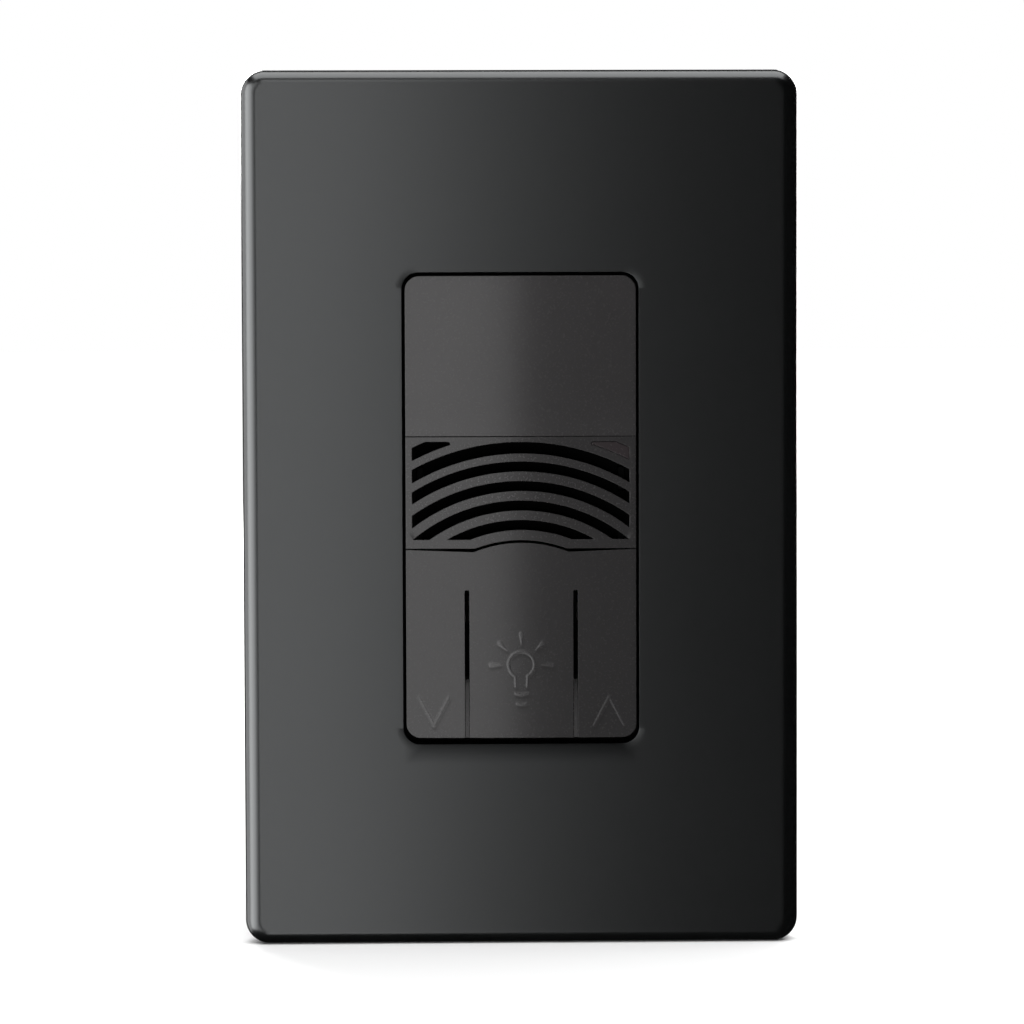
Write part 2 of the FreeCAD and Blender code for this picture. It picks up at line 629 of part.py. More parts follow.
# ---------------------------------------------------------------- sensors, switches and dials
LED_X, LED_Z, STEM_R = 12.62, 8.0, 0.75
PIR_Z = 21.5
TRANSDUCER_X, TRANSDUCER_Z, TRANSDUCER_R = 7.8, 2.0, 5.0


def pir_sensor():
    """Metal-can infrared sensor with a window and three leads."""
    base = rod_y(0, PIR_Z, 4.6, -0.4, 0.2)
    can = rod_y(0, PIR_Z, 4.1, -3.8, -0.3)
    can = can.makeFillet(0.5, [e for e in can.Edges if abs(e.CenterOfMass.y + 3.8) < 1e-6])
    window = box(-2.0, 2.0, -4.5, -3.6, PIR_Z - 1.5, PIR_Z + 1.5)
    leads = [rod_y(2.5 * math.cos(math.radians(a)), PIR_Z + 2.5 * math.sin(math.radians(a)),
                   0.22, 0.1, SENSOR_BOARD_Y) for a in (90, 210, 330)]
    tab = box(-0.5, 0.5, -0.4, 0.2, PIR_Z + 4.4, PIR_Z + 5.3)
    return fuse(base, can, tab, *leads).cut(window)


def pir_filter():
    """Silicon window set in the sensor can."""
    return box(-1.97, 1.97, -3.78, -3.62, PIR_Z - 1.47, PIR_Z + 1.47)


def pir_holder():
    """Plastic ring that spaces the sensor off the board, open for its leads."""
    return ring_y(0, PIR_Z, 5.2, 3.2, 0.22, SENSOR_BOARD_Y - 0.02)


def transducer(x):
    """Ultrasonic capsule with a perforated cap."""
    can = rod_y(x, TRANSDUCER_Z, TRANSDUCER_R, -5.6, 0.9)
    can = can.makeFillet(0.4, [e for e in can.Edges if abs(e.CenterOfMass.y + 5.6) < 1e-6])
    holes = [rod_y(x, TRANSDUCER_Z, 0.55, -7, -5.0)]
    for a in range(0, 360, 60):
        hx = x + 2.2 * math.cos(math.radians(a))
        hz = TRANSDUCER_Z + 2.2 * math.sin(math.radians(a))
        holes.append(rod_y(hx, hz, 0.55, -7, -5.0))
    pins = [rod_y(x + dx, TRANSDUCER_Z, 0.3, 0.8, SENSOR_BOARD_Y) for dx in (-2.5, 2.5)]
    return fuse(can, *pins).cut(Part.makeCompound(holes))


def transducer_boots():
    """Rubber sleeves that keep the capsules' vibration off the frame."""
    boots = []
    for x in (-TRANSDUCER_X, TRANSDUCER_X):
        sleeve = ring_y(x, TRANSDUCER_Z, 5.8, TRANSDUCER_R + 0.03, -4.4, SENSOR_BOARD_Y - 0.05)
        bead = ring_y(x, TRANSDUCER_Z, 6.0, 5.7, -4.4, -3.6)
        boots.append(fuse(sleeve, bead))
    return Part.makeCompound(boots)


def status_led():
    """Small round lamp that shines into the light pipe's stem."""
    radius, tip = 0.9, -4.5
    body = rod_y(LED_X, LED_Z, radius, tip + radius, 1.0)
    dome = Part.makeSphere(radius, V(LED_X, tip + radius, LED_Z))
    foot = rod_y(LED_X, LED_Z, radius + 0.25, 1.0, SENSOR_BOARD_Y)
    return fuse(body, dome, foot)


def tact_switch_bodies():
    bodies = []
    for x in (-TACT_X, 0.0, TACT_X):
        front = SENSOR_BOARD_Y - TACT_H
        case = rounded_block(TACT_SIDE, TACT_SIDE, 0.4, front, SENSOR_BOARD_Y, x, TACT_Z)
        studs = [rod_y(x + dx, TACT_Z + dz, 0.45, front - 0.2, front + 0.1)
                 for dx in (-2.3, 2.3) for dz in (-2.3, 2.3)]
        case = fuse(case, *studs)
        bodies.append(case.cut(rod_y(x, TACT_Z, PLUNGER_R + 0.1, front - 1, -0.2)))
    return Part.makeCompound(bodies)


def plunger(x):
    """Round push button of one key switch."""
    stem = rod_y(x, TACT_Z, PLUNGER_R, PLUNGER_TIP, PLUNGER_TAIL)
    rim = [e for e in stem.Edges if abs(e.CenterOfMass.y - PLUNGER_TIP) < 1e-6]
    return stem.makeChamfer(0.25, rim)


def dial_bodies():
    bodies = []
    for x in (-DIAL_X, DIAL_X):
        case = rounded_block(6.6, 6.6, 0.3, -2.6, SENSOR_BOARD_Y, x, DIAL_Z)
        bodies.append(case.cut(rod_y(x, DIAL_Z, DIAL_R + 0.05, -4, -0.8)))
    return Part.makeCompound(bodies)


def dial(x):
    """Screwdriver-slotted rotor with an arrowhead that shows its setting."""
    rotor = rod_y(x, DIAL_Z, DIAL_R, -3.3, -0.9)
    slot = box(x - 0.35, x + 0.35, -4, -2.6, DIAL_Z - 1.9, DIAL_Z + 1.9)
    arrow = extrude_xz([(x - 0.9, DIAL_Z + 1.0), (x + 0.9, DIAL_Z + 1.0), (x, DIAL_Z + 2.3)], -4, -2.9)
    return rotor.cut(fuse(slot, arrow))


# ---------------------------------------------------------------- boards and power parts
def board(y, clearance_r):
    """A circuit board with its corners cut out round the four screw bosses."""
    plate = rounded_block(BOARD_W, BOARD_H, 1.0, y, y + BOARD_T)
    for x in (-BOSS_X, BOSS_X):
        for z in (-BOSS_Z, BOSS_Z):
            plate = plate.cut(rod_y(x, z, clearance_r, y - 1, y + BOARD_T + 1))
    return plate


def board_header():
    """Pin header that joins the two boards, with its plastic spacers."""
    z = -29.0
    count, pitch = 8, 2.0
    xs = [pitch * (i - (count - 1) / 2) for i in range(count)]
    spacer = box(-count * pitch / 2, count * pitch / 2, SENSOR_BOARD_BACK, SENSOR_BOARD_BACK + 2.4,
                 z - 1.2, z + 1.2)
    foot = box(-count * pitch / 2, count * pitch / 2, POWER_BOARD_Y - 2.4, POWER_BOARD_Y,
               z - 1.2, z + 1.2)
    pins = [box(x - 0.3, x + 0.3, SENSOR_BOARD_BACK + 0.1, POWER_BOARD_Y - 0.1, z - 0.3, z + 0.3)
            for x in xs]
    return fuse(spacer, foot, *pins)


def control_chips():
    chips = [rounded_block(9.0, 9.0, 0.4, SENSOR_BOARD_BACK, SENSOR_BOARD_BACK + 1.4, 0, -6.0),
             rounded_block(6.0, 4.4, 0.3, SENSOR_BOARD_BACK, SENSOR_BOARD_BACK + 1.4, -9.0, 14.0),
             rounded_block(6.0, 4.4, 0.3, SENSOR_BOARD_BACK, SENSOR_BOARD_BACK + 1.4, 9.0, 14.0)]
    return Part.makeCompound(chips)


def relay():
    return rounded_block(18.0, 14.5, 0.8, POWER_BOARD_BACK, POWER_BOARD_BACK + 15.4, 0, 12.5)


def electrolytic_capacitors():
    cans = []
    for x in (-7.5, 2.5):
        can = rod_y(x, 26.6, 4.0, POWER_BOARD_BACK, POWER_BOARD_BACK + 12.0)
        rim = [e for e in can.Edges if abs(e.CenterOfMass.y - POWER_BOARD_BACK - 12.0) < 1e-6]
        cans.append(can.makeFillet(0.6, rim))
    return Part.makeCompound(cans)


def transformer():
    """Small switching transformer: ferrite core with a winding between its cheeks."""
    y0 = POWER_BOARD_BACK
    core = rounded_block(13.0, 11.0, 0.5, y0 + 2.0, y0 + 12.0, 0, -8.5)
    core = core.cut(box(-7, 7, y0 + 4.0, y0 + 10.0, -15, -11.0))
    core = core.cut(box(-7, 7, y0 + 4.0, y0 + 10.0, -6.0, -2))
    base = box(-6.5, 6.5, y0, y0 + 2.0, -15.0, -2.0)
    return fuse(core, base)


def transformer_winding():
    y0 = POWER_BOARD_BACK
    return Part.makeCompound([
        rounded_block(11.0, 2.9, 0.8, y0 + 4.1, y0 + 9.9, 0, -12.5),
        rounded_block(11.0, 2.9, 0.8, y0 + 4.1, y0 + 9.9, 0, -4.5)])


def filter_capacitor():
    return rounded_block(13.0, 5.0, 0.6, POWER_BOARD_BACK, POWER_BOARD_BACK + 11.0, 0, -18.6)


# ---------------------------------------------------------------- rear housing and terminals
TERMINAL_Y = 23.0
BLOCK_Z = -27.4
BLOCK_W, BLOCK_H, BLOCK_DEPTH = 11.4, 9.0, 9.0


def pocket_places():
    """(side, z) of each terminal pocket, where side is -1 on the left and 1 on the right."""
    return [(-1, z) for z in POCKET_ZS["left"]] + [(1, z) for z in POCKET_ZS["right"]]


def pocket_box(side, z, depth, grow, front):
    """The room of one terminal pocket, or its walls with grow above 0."""
    outer = side * (HOUSING_W / 2 + 1)
    inner = side * (HOUSING_W / 2 - depth)
    return box(min(outer, inner), max(outer, inner), front, HOUSING_DEPTH + 1,
               z - POCKET_H / 2 - grow, z + POCKET_H / 2 + grow)


def rear_housing():
    outer = rounded_block(HOUSING_W, HOUSING_H, 2.5, 0.02, HOUSING_DEPTH)
    rim = [e for e in outer.Edges if all(abs(v.Point.y - HOUSING_DEPTH) < 1e-6 for v in e.Vertexes)]
    outer = outer.makeFillet(1.2, rim)
    inner = rounded_block(HOUSING_W - 2 * HOUSING_WALL, HOUSING_H - 2 * HOUSING_WALL, 1.0,
                          -1, HOUSING_INNER_BACK)
    shell = outer.cut(inner)

    walls = []
    for side, z in pocket_places():
        walls.append(pocket_box(side, z, POCKET_DEPTH + 2.0, 1.4, POCKET_FRONT - 1.4))
    tubes = [rod_y(x, z, 3.0, 5.1, HOUSING_INNER_BACK + 0.1)
             for x in (-BOSS_X, BOSS_X) for z in (-BOSS_Z, BOSS_Z)]
    block_wall = box(-BLOCK_W / 2 - 1.4, BLOCK_W / 2 + 1.4, HOUSING_DEPTH - BLOCK_DEPTH - 1.4,
                     HOUSING_DEPTH - 0.5, BLOCK_Z - BLOCK_H / 2 - 1.4, BLOCK_Z + BLOCK_H / 2 + 1.4)
    solid = fuse(shell, *[w.common(outer) for w in walls], *[t.common(outer) for t in tubes],
                 block_wall)

    for side, z in pocket_places():
        solid = solid.cut(pocket_box(side, z, POCKET_DEPTH, 0, POCKET_FRONT))
        x_floor = side * (HOUSING_W / 2 - POCKET_DEPTH)
        x_end = side * (HOUSING_W / 2 - POCKET_DEPTH - 1.5)
        a, b = sorted((x_floor, x_end))
        solid = solid.cut(rod_x(TERMINAL_Y, z, 2.3, a - 0.01, b + 0.01))
        # Slit for the terminal plate's leg
        leg_a, leg_b = sorted((x_floor, side * (HOUSING_W / 2 - POCKET_DEPTH + 1.2)))
        solid = solid.cut(box(leg_a, leg_b, POCKET_FRONT - 2, POCKET_FRONT + 1, z - 1.7, z + 1.7))
    for x in (-BOSS_X, BOSS_X):
        for z in (-BOSS_Z, BOSS_Z):
            solid = solid.cut(rod_y(x, z, 1.6, 4, HOUSING_DEPTH + 1))
            solid = solid.cut(rod_y(x, z, 2.9, HOUSING_DEPTH - 1.9, HOUSING_DEPTH + 1))
    solid = solid.cut(box(-BLOCK_W / 2, BLOCK_W / 2, HOUSING_DEPTH - BLOCK_DEPTH, HOUSING_DEPTH + 1,
                          BLOCK_Z - BLOCK_H / 2, BLOCK_Z + BLOCK_H / 2))
    # Vent slots in the back wall over the relay
    for i in range(5):
        solid = solid.cut(slot_block(12.0, 1.6, HOUSING_INNER_BACK - 1, HOUSING_DEPTH + 1,
                                     0, 6.5 + 3.0 * i))
    return solid


def housing_screws():
    screws = []
    for x in (-BOSS_X, BOSS_X):
        for z in (-BOSS_Z, BOSS_Z):
            head_y = HOUSING_DEPTH - 1.9
            head = rod_y(x, z, 2.7, head_y, head_y + 1.6)
            rim = [e for e in head.Edges if abs(e.CenterOfMass.y - head_y - 1.6) < 1e-6]
            head = head.makeFillet(0.6, rim)
            shank = rod_y(x, z, 1.25, -1.0, head_y + 0.1)
            screw = fuse(head, shank)
            screws.append(screw.cut(cross_slot(x, z, head_y + 0.7, head_y + 3, arm=1.5, width=0.6)))
    return Part.makeCompound(screws)


def terminal_plates():
    """Brass plates on the pocket floors, each with a leg to the power board."""
    plates = []
    for side, z in pocket_places():
        x_floor = side * (HOUSING_W / 2 - POCKET_DEPTH + 0.05)
        x_top = side * (HOUSING_W / 2 - POCKET_DEPTH + 1.05)
        a, b = sorted((x_floor, x_top))
        pad = box(a, b, POCKET_FRONT + 5.6, HOUSING_DEPTH - 6.0, z - 4.6, z + 4.6)
        leg = box(a, b, POWER_BOARD_BACK + 0.02, POCKET_FRONT + 5.7, z - 1.5, z + 1.5)
        plates.append(fuse(pad, leg).cut(rod_x(TERMINAL_Y, z, 2.05, -30, 30)))
    return Part.makeCompound(plates)


def terminal_screw(side, z):
    """Binding-head screw, backed out a little to take a wire."""
    head_r, head_h, lift = 3.9, 2.1, 1.2
    x_face = HOUSING_W / 2 - POCKET_DEPTH + 1.05 + lift
    head = rod_x(TERMINAL_Y, z, head_r, x_face, x_face + head_h)
    rim = [e for e in head.Edges if abs(e.CenterOfMass.x - x_face - head_h) < 1e-6]
    head = head.makeFillet(0.8, rim)
    shank = rod_x(TERMINAL_Y, z, 2.0, HOUSING_W / 2 - POCKET_DEPTH - 1.2, x_face + 0.1)
    screw = fuse(head, shank)
    x_out = x_face + head_h
    screw = screw.cut(box(x_out - 1.0, x_out + 1, TERMINAL_Y - 5, TERMINAL_Y + 5, z - 0.5, z + 0.5))
    screw = screw.cut(box(x_out - 1.2, x_out + 1, TERMINAL_Y - 0.5, TERMINAL_Y + 0.5, z - 2.3, z + 2.3))
    return screw if side > 0 else mirror_x(screw)


def dimming_terminal_block():
    """Two-way low-voltage block: wire holes above, clamp screws below."""
    y0, y1 = HOUSING_DEPTH - BLOCK_DEPTH + 0.05, HOUSING_DEPTH - 0.3
    half_w, half_h = BLOCK_W / 2 - 0.06, BLOCK_H / 2 - 0.06
    block = box(-half_w, half_w, y0, y1, BLOCK_Z - half_h, BLOCK_Z + half_h)
    for x in (-2.6, 2.6):
        block = block.cut(rounded_block(3.2, 2.8, 0.5, y1 - 6.0, y1 + 1, x, BLOCK_Z + 2.2))
        block = block.cut(rod_y(x, BLOCK_Z - 1.9, 1.75, y1 - 5.0, y1 + 1))
    return block


def dimming_terminal_screws():
    screws = []
    y1 = HOUSING_DEPTH - 0.3
    for x in (-2.6, 2.6):
        head = rod_y(x, BLOCK_Z - 1.9, 1.7, y1 - 4.9, y1 - 0.9)
        screws.append(head.cut(box(x - 3, x + 3, y1 - 1.6, y1 + 1, BLOCK_Z - 2.15, BLOCK_Z - 1.65)))
    return Part.makeCompound(screws)


# ---------------------------------------------------------------- build
def main():
    os.makedirs("parts", exist_ok=True)
    save("wall_plate", wall_plate())
    save("plate_subframe", plate_subframe())
    save("plate_screws", plate_screws())
    save("mounting_strap", mounting_strap())
    save("mounting_screws", mounting_screws())
    save("screw_retainers", screw_retainers())
    save("ground_screw", ground_screw())
    save("front_frame", front_frame())

    block = insert_block()
    shell = insert_shell(block)
    save("sensor_lens", sensor_lens(block))
    save("grille", grille(shell))
    save("status_window", status_window())
    save("acoustic_mesh", acoustic_mesh())
    save("key_bridge", key_bridge(shell))
    slit = SLIT_W / 2
    left_key = key_body(shell, -INSERT_W, -SLIT_X - slit, -TACT_X)
    centre_key = key_body(shell, -SLIT_X + slit, SLIT_X - slit, 0.0)
    save("dim_down_key", emboss(chevron(-CHEVRON_X, CHEVRON_LOW, CHEVRON_HIGH), left_key))
    save("on_off_key", emboss(lamp_symbol(), centre_key))
    save("dim_up_key", emboss(chevron(CHEVRON_X, CHEVRON_HIGH, CHEVRON_LOW), mirror_x(left_key)))

    save("pir_sensor", pir_sensor())
    save("pir_filter", pir_filter())
    save("pir_holder", pir_holder())
    save("ultrasonic_transmitter", transducer(-TRANSDUCER_X))
    save("ultrasonic_receiver", transducer(TRANSDUCER_X))
    save("transducer_boots", transducer_boots())
    save("status_led", status_led())
    save("key_switch_bodies", tact_switch_bodies())
    save("dim_down_plunger", plunger(-TACT_X))
    save("on_off_plunger", plunger(0.0))
    save("dim_up_plunger", plunger(TACT_X))
    save("dial_bodies", dial_bodies())
    save("time_delay_dial", dial(-DIAL_X))
    save("sensitivity_dial", dial(DIAL_X))

    save("sensor_board", board(SENSOR_BOARD_Y, BOSS_R + 0.5))
    save("power_board", board(POWER_BOARD_Y, 3.4))
    save("board_header", board_header())
    save("control_chips", control_chips())
    save("relay", relay())
    save("electrolytic_capacitors", electrolytic_capacitors())
    save("transformer_core", transformer())
    save("transformer_winding", transformer_winding())
    save("filter_capacitor", filter_capacitor())

    save("rear_housing", rear_housing())
    save("housing_screws", housing_screws())
    save("terminal_plates", terminal_plates())
    line, load = [terminal_screw(-1, z) for z in POCKET_ZS["left"]]
    save("hot_terminal_screws", Part.makeCompound([line, load]))
    save("neutral_terminal_screw", terminal_screw(1, POCKET_ZS["right"][0]))
    save("dimming_terminal_block", dimming_terminal_block())
    save("dimming_terminal_screws", dimming_terminal_screws())


main()
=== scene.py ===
"""Looks of the occupancy sensor wall switch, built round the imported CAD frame.

The 2-D work is in millimetres on the XZ plane, seen from the room: +X right, +Z up, and -Y towards
the viewer. Meshes are scaled to metres when they are made.
"""

import json
import math

import bmesh
import bpy
import numpy as np
from mathutils import Matrix, Vector
from mathutils.geometry import delaunay_2d_cdt


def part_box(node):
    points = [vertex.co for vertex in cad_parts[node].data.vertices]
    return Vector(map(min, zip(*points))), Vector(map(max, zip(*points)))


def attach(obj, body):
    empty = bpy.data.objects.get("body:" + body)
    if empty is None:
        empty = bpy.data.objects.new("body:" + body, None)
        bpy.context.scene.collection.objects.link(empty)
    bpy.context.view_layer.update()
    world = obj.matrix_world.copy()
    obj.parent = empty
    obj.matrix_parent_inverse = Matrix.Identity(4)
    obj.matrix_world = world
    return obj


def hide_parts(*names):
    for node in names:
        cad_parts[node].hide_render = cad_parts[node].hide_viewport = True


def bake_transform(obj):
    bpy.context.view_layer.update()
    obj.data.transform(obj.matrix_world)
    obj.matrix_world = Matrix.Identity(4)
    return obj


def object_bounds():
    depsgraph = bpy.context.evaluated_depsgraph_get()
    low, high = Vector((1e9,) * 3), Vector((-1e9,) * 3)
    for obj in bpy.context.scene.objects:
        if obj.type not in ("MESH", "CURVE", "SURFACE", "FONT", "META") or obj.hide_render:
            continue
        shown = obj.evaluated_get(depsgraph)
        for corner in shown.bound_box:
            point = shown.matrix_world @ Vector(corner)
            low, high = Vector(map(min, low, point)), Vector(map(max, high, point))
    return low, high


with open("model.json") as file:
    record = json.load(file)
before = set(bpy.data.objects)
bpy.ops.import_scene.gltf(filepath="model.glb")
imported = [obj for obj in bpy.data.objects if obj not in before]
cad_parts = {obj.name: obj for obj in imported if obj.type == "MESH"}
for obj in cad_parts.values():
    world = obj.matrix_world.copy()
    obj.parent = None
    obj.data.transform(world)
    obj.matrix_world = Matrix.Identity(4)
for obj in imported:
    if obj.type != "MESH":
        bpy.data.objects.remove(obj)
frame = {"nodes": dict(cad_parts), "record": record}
cad_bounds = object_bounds()
MM = 0.001


def box_mm(node):
    """Lowest and highest corner of a CAD node, in millimetres."""
    low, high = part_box(node)
    return low / MM, high / MM


# ---- sizes, in millimetres
# The wall plate and its opening. Every small edge is broken by EDGE_BREAK.
PLATE_LOW, PLATE_HIGH = box_mm("wall_plate")
HALF_W, HALF_H, PLATE_FRONT = PLATE_HIGH.x, PLATE_HIGH.z, PLATE_LOW.y
PLATE_CORNER_R, PLATE_EDGE_R, PLATE_WALL = 3.4, 2.3, 1.9
SIDE_Y = -1.6  # the straight side runs from here to the back
EDGE_BREAK = 0.15
OPENING_W, OPENING_H, OPENING_R = 33.3, 66.7, 2.3
OPENING_EDGE_R = 0.15
RIM_T, RIM_BACK = 1.2, -3.7  # the rim that stands behind the opening
NOTCH_HALF, NOTCH_DEPTH = 3.5, 1.3  # the pry notch in the lower edge
RIB_X, RIB_HALF, RIB_BACK, RIB_GAP = 12.0, 0.5, -4.35, 3.0
CATCH_X, CATCH_Z, CATCH_HALF = 22.0, 34.0, 4.0  # the ridges that snap onto the subframe
CATCH_Y, CATCH_DEPTH = (-2.7, -1.9), 0.45

# The insert: lens, grille and key panel. Its face falls away evenly from a soft central ridge.
LENS_LOW, LENS_HIGH = box_mm("sensor_lens")
INSERT_HALF_W = LENS_HIGH.x
INSERT_TOP, INSERT_FOOT = LENS_HIGH.z, box_mm("on_off_key")[0].z
INSERT_MID, INSERT_HALF_H = (INSERT_TOP + INSERT_FOOT) / 2, (INSERT_TOP - INSERT_FOOT) / 2
INSERT_R = 2.0
INSERT_EDGE_R = 0.09
INSERT_FRONT = LENS_LOW.y
INSERT_BACK = -6.4
BLOCK_FRONT = INSERT_BACK - 0.05  # walls, legs and posts start inside the cap
SKIRT_BACK, SKIRT_T = -5.6, 1.2
RIDGE_SLOPE, RIDGE_HALF = 0.045, 4.2
LEG_INSET, LEG_T, LEG_HALF = 1.6, 0.9, 1.6
LEG_BACK, HOOK_FRONT, HOOK_REACH = -0.7, -1.3, 0.25
LENS_LEGS_Z, GRILLE_LEGS_Z = (14.5, 27.5), (-3.5, 4.3)

# The seams between the three, and the line where the keys bend.
SEAM_LENS_LOW = box_mm("grille")[1].z
SEAM_LENS_HIGH = LENS_LOW.z
GRILLE_BOTTOM = box_mm("grille")[0].z
HINGE_Z = box_mm("key_bridge")[0].z
BRIDGE_TOP_SIDE, BRIDGE_TOP_MID = -5.68, -6.03
SEAM_EDGE_R = 0.08

# The grille's slots, which share a centre at ARC_Z. The first one is a little wider.
ARC_Z = -22.58
ARC_OUTER_R, ARC_PITCH, ARC_SLOTS, ARC_SLOT_W = 34.83, 2.755, 6, 1.38
TOP_SLOT_EXTRA = 0.22
CORNER_SLOT_W, CORNER_SLOT_END = 1.59, 9.94
SLOT_HALF_SPAN, SLOT_BOTTOM, SLOT_TOP = 15.36, -4.27, 9.53
SLOT_EDGE_R = 0.08
BUMP_R, BUMP_GAP = 17.86, 0.35  # the panel's round top, and the groove over it
WINDOW_SHRINK, WINDOW_SUNK = 0.04, 0.05
LIGHT_PIPE = (11.85, 13.35, BLOCK_FRONT, -4.7, 7.25, 8.75, 0.3)

# The slits, fins and symbols of the key panel.
SLIT_X, SLIT_W = 7.68, 0.67
SLIT_EDGE_R, SLIT_END_R = 0.03, 0.12
KNEE_X = SLIT_X + SLIT_W / 2
WALL_INSET, INNER_WALL_T, OUTER_WALL_T = 0.02, 0.98, 1.1
POST_X, POST_Z, POST_HALF, POST_BACK = 11.6, -24.0, 1.5, -3.45
KEY_RIB_HALF, KEY_RIB_Z = 0.5, (-30.6, -13.0)
FOOT_X, FOOT_HALF, FOOT_BACK, FOOT_Z = 6.4, 1.0, -2.2, (-9.6, -7.6)
FIN_TOP, FIN_BACK, FIN_STEPS = -23.6, -5.0, 24
FIN_GAP, FIN_SUNK = 0.05, 0.04
WEB_HALF, WEB_T, WEB_TOP = 0.45, 0.3, -16.35  # the web closes the slit above the fin
EMBOSS, STROKE_RAMP = 0.015, 0.26
# The painted shadow under each stroke: its shift, right and down as seen, and how dark it gets.
SHADE_SHIFT, SHADE_DEPTH = np.array([-0.12, 0.4]), 0.7
STROKE_HALF = 0.3
CHEVRON_X, CHEVRON_HALF, CHEVRON_LOW, CHEVRON_HIGH = 12.43, 2.1, -30.6, -26.6
LAMP_Z, LAMP_R, LAMP_STROKE = -21.98, 1.85, 0.31
RAY_START, RAY_END = (2.92, 0.17), (4.3, 0.46)  # distance from the lamp's centre, half width


# ---- outlines on the XZ plane
def arc(cx, cz, r, start, end, step=6.0):
    """Points of an arc, from one angle to another in degrees, anticlockwise from +X."""
    count = max(2, round(abs(end - start) / step))
    angles = [math.radians(start + (end - start) * i / count) for i in range(count + 1)]
    return [(cx + r * math.cos(a), cz + r * math.sin(a)) for a in angles]


def split_line(a, b, pitch):
    """Points from a up to but not including b."""
    count = max(1, round(math.dist(a, b) / pitch))
    return [(a[0] + (b[0] - a[0]) * i / count, a[1] + (b[1] - a[1]) * i / count)
            for i in range(count)]


def rounded_rect(half_w, half_h, r, step=7.5):
    """A closed rounded rectangle, anticlockwise, starting at its lower left corner."""
    w, h = half_w - r, half_h - r
    points = []
    for cx, cz, start in ((-w, -h, 180), (w, -h, 270), (w, h, 0), (-w, h, 90)):
        points += arc(cx, cz, r, start, start + 90, step)
    return points


def inset(line, distance, closed):
    """The line moved to its left, which is into the material."""
    p = np.array(line, float)
    before, after = np.roll(p, 1, 0), np.roll(p, -1, 0)
    if not closed:
        before[0], after[-1] = 2 * p[0] - p[1], 2 * p[-1] - p[-2]
    u, v = p - before, after - p
    u /= np.linalg.norm(u, axis=1)[:, None]
    v /= np.linalg.norm(v, axis=1)[:, None]
    normals = np.stack([-(u + v)[:, 1], (u + v)[:, 0]], 1)
    share = 1 + (u * v).sum(1)
    return p + normals * (distance / np.maximum(share, 0.3))[:, None]


def quarter_turn(steps):
    """The sine and cosine of evenly spaced angles from 0 to 90 degrees."""
    angles = [math.pi / 2 * i / steps for i in range(steps + 1)]
    return [(math.sin(a), math.cos(a)) for a in angles]


def fillet_steps(r, count):
    """Distances from the edge at which a rounding of radius r is sampled."""
    return [r * (1 - cos) for _, cos in quarter_turn(count)[1:]]


# ---- relief of the front faces
def nearest(points, lines, closed):
    """Distance from each point to the nearest line, and the direction away from it."""
    lines = [np.array(line, float) for line in lines]
    end = None if closed else -1
    a = np.vstack([line[:end] for line in lines])
    along = np.vstack([np.roll(line, -1, 0)[:end] for line in lines]) - a
    length2 = np.maximum((along**2).sum(1), 1e-12)
    left = np.stack([-along[:, 1], along[:, 0]], 1) / np.sqrt(length2)[:, None]
    distance, away = np.zeros(len(points)), np.zeros((len(points), 2))
    for rows in np.array_split(np.arange(len(points)), len(points) // 400 + 1):
        offset = points[rows][:, None] - a
        t = np.clip((offset * along).sum(2) / length2, 0, 1)
        gap = offset - t[..., None] * along
        square = (gap**2).sum(2)
        pick = square.argmin(1)
        near = np.sqrt(square[np.arange(len(rows)), pick])
        direction = gap[np.arange(len(rows)), pick] / np.maximum(near, 1e-9)[:, None]
        on_line = near < 1e-4
        direction[on_line] = left[pick[on_line]]
        distance[rows], away[rows] = near, direction
    return distance, away


def rounding(distance, away, r):
    """How far a rounded edge falls back at each distance from it, and the slope of that."""
    inside = distance < r
    d = np.clip(distance, 0.02 * r, r)
    fall = np.sqrt(np.maximum(r * r - (r - d) ** 2, 1e-12))
    height = np.sqrt(np.maximum(r * r - (r - np.minimum(distance, r)) ** 2, 0))
    slope = np.where(inside, -(r - d) / fall, 0)
    return np.where(inside, r - height, 0), away * slope[:, None]


def insert_distance(points):
    """Distance in from the outline of the whole insert, and the direction inwards."""
    centred = points - [0, INSERT_MID]
    q = np.abs(centred) - np.array([INSERT_HALF_W - INSERT_R, INSERT_HALF_H - INSERT_R])
    corner = np.maximum(q, 0)
    reach = np.linalg.norm(corner, axis=1)
    distance = INSERT_R - reach - np.minimum(q.max(1), 0)
    straight = np.where((q[:, 0] > q[:, 1])[:, None], [1.0, 0.0], [0.0, 1.0])
    outward = np.where((reach > 1e-9)[:, None], corner / np.maximum(reach, 1e-9)[:, None], straight)
    return np.maximum(distance, 0), -outward * np.sign(centred)


def stroke_distance(points, strokes):
    """Signed distance to the outline of some strokes, and the direction away from them.

    A stroke is (x0, z0, half width, x1, z1, half width).
    """
    best, away = np.full(len(points), 9.0), np.zeros((len(points), 2))
    for x0, z0, w0, x1, z1, w1 in strokes:
        a, along = np.array([x0, z0]), np.array([x1 - x0, z1 - z0])
        t = np.clip(((points - a) @ along) / (along @ along), 0, 1)
        gap = points - a - t[:, None] * along
        reach = np.linalg.norm(gap, axis=1)
        signed = reach - (w0 + (w1 - w0) * t)
        closer = signed < best
        best[closer] = signed[closer]
        away[closer] = (gap / np.maximum(reach, 1e-9)[:, None])[closer]
    return best, away


def stroke_painted_light_and_shadow(points, strokes):
    """Painted light and shadow: 1 on the crown of a stroke, down to -1 at the foot of its lower
    right flank, where shadow is painted.
    """
    crown = np.clip(0.5 - stroke_distance(points, strokes)[0] / STROKE_RAMP, 0, 1)
    foot = np.clip(0.5 - stroke_distance(points + SHADE_SHIFT, strokes)[0] / STROKE_RAMP, 0, 1)
    return crown - SHADE_DEPTH * foot * (1 - crown)


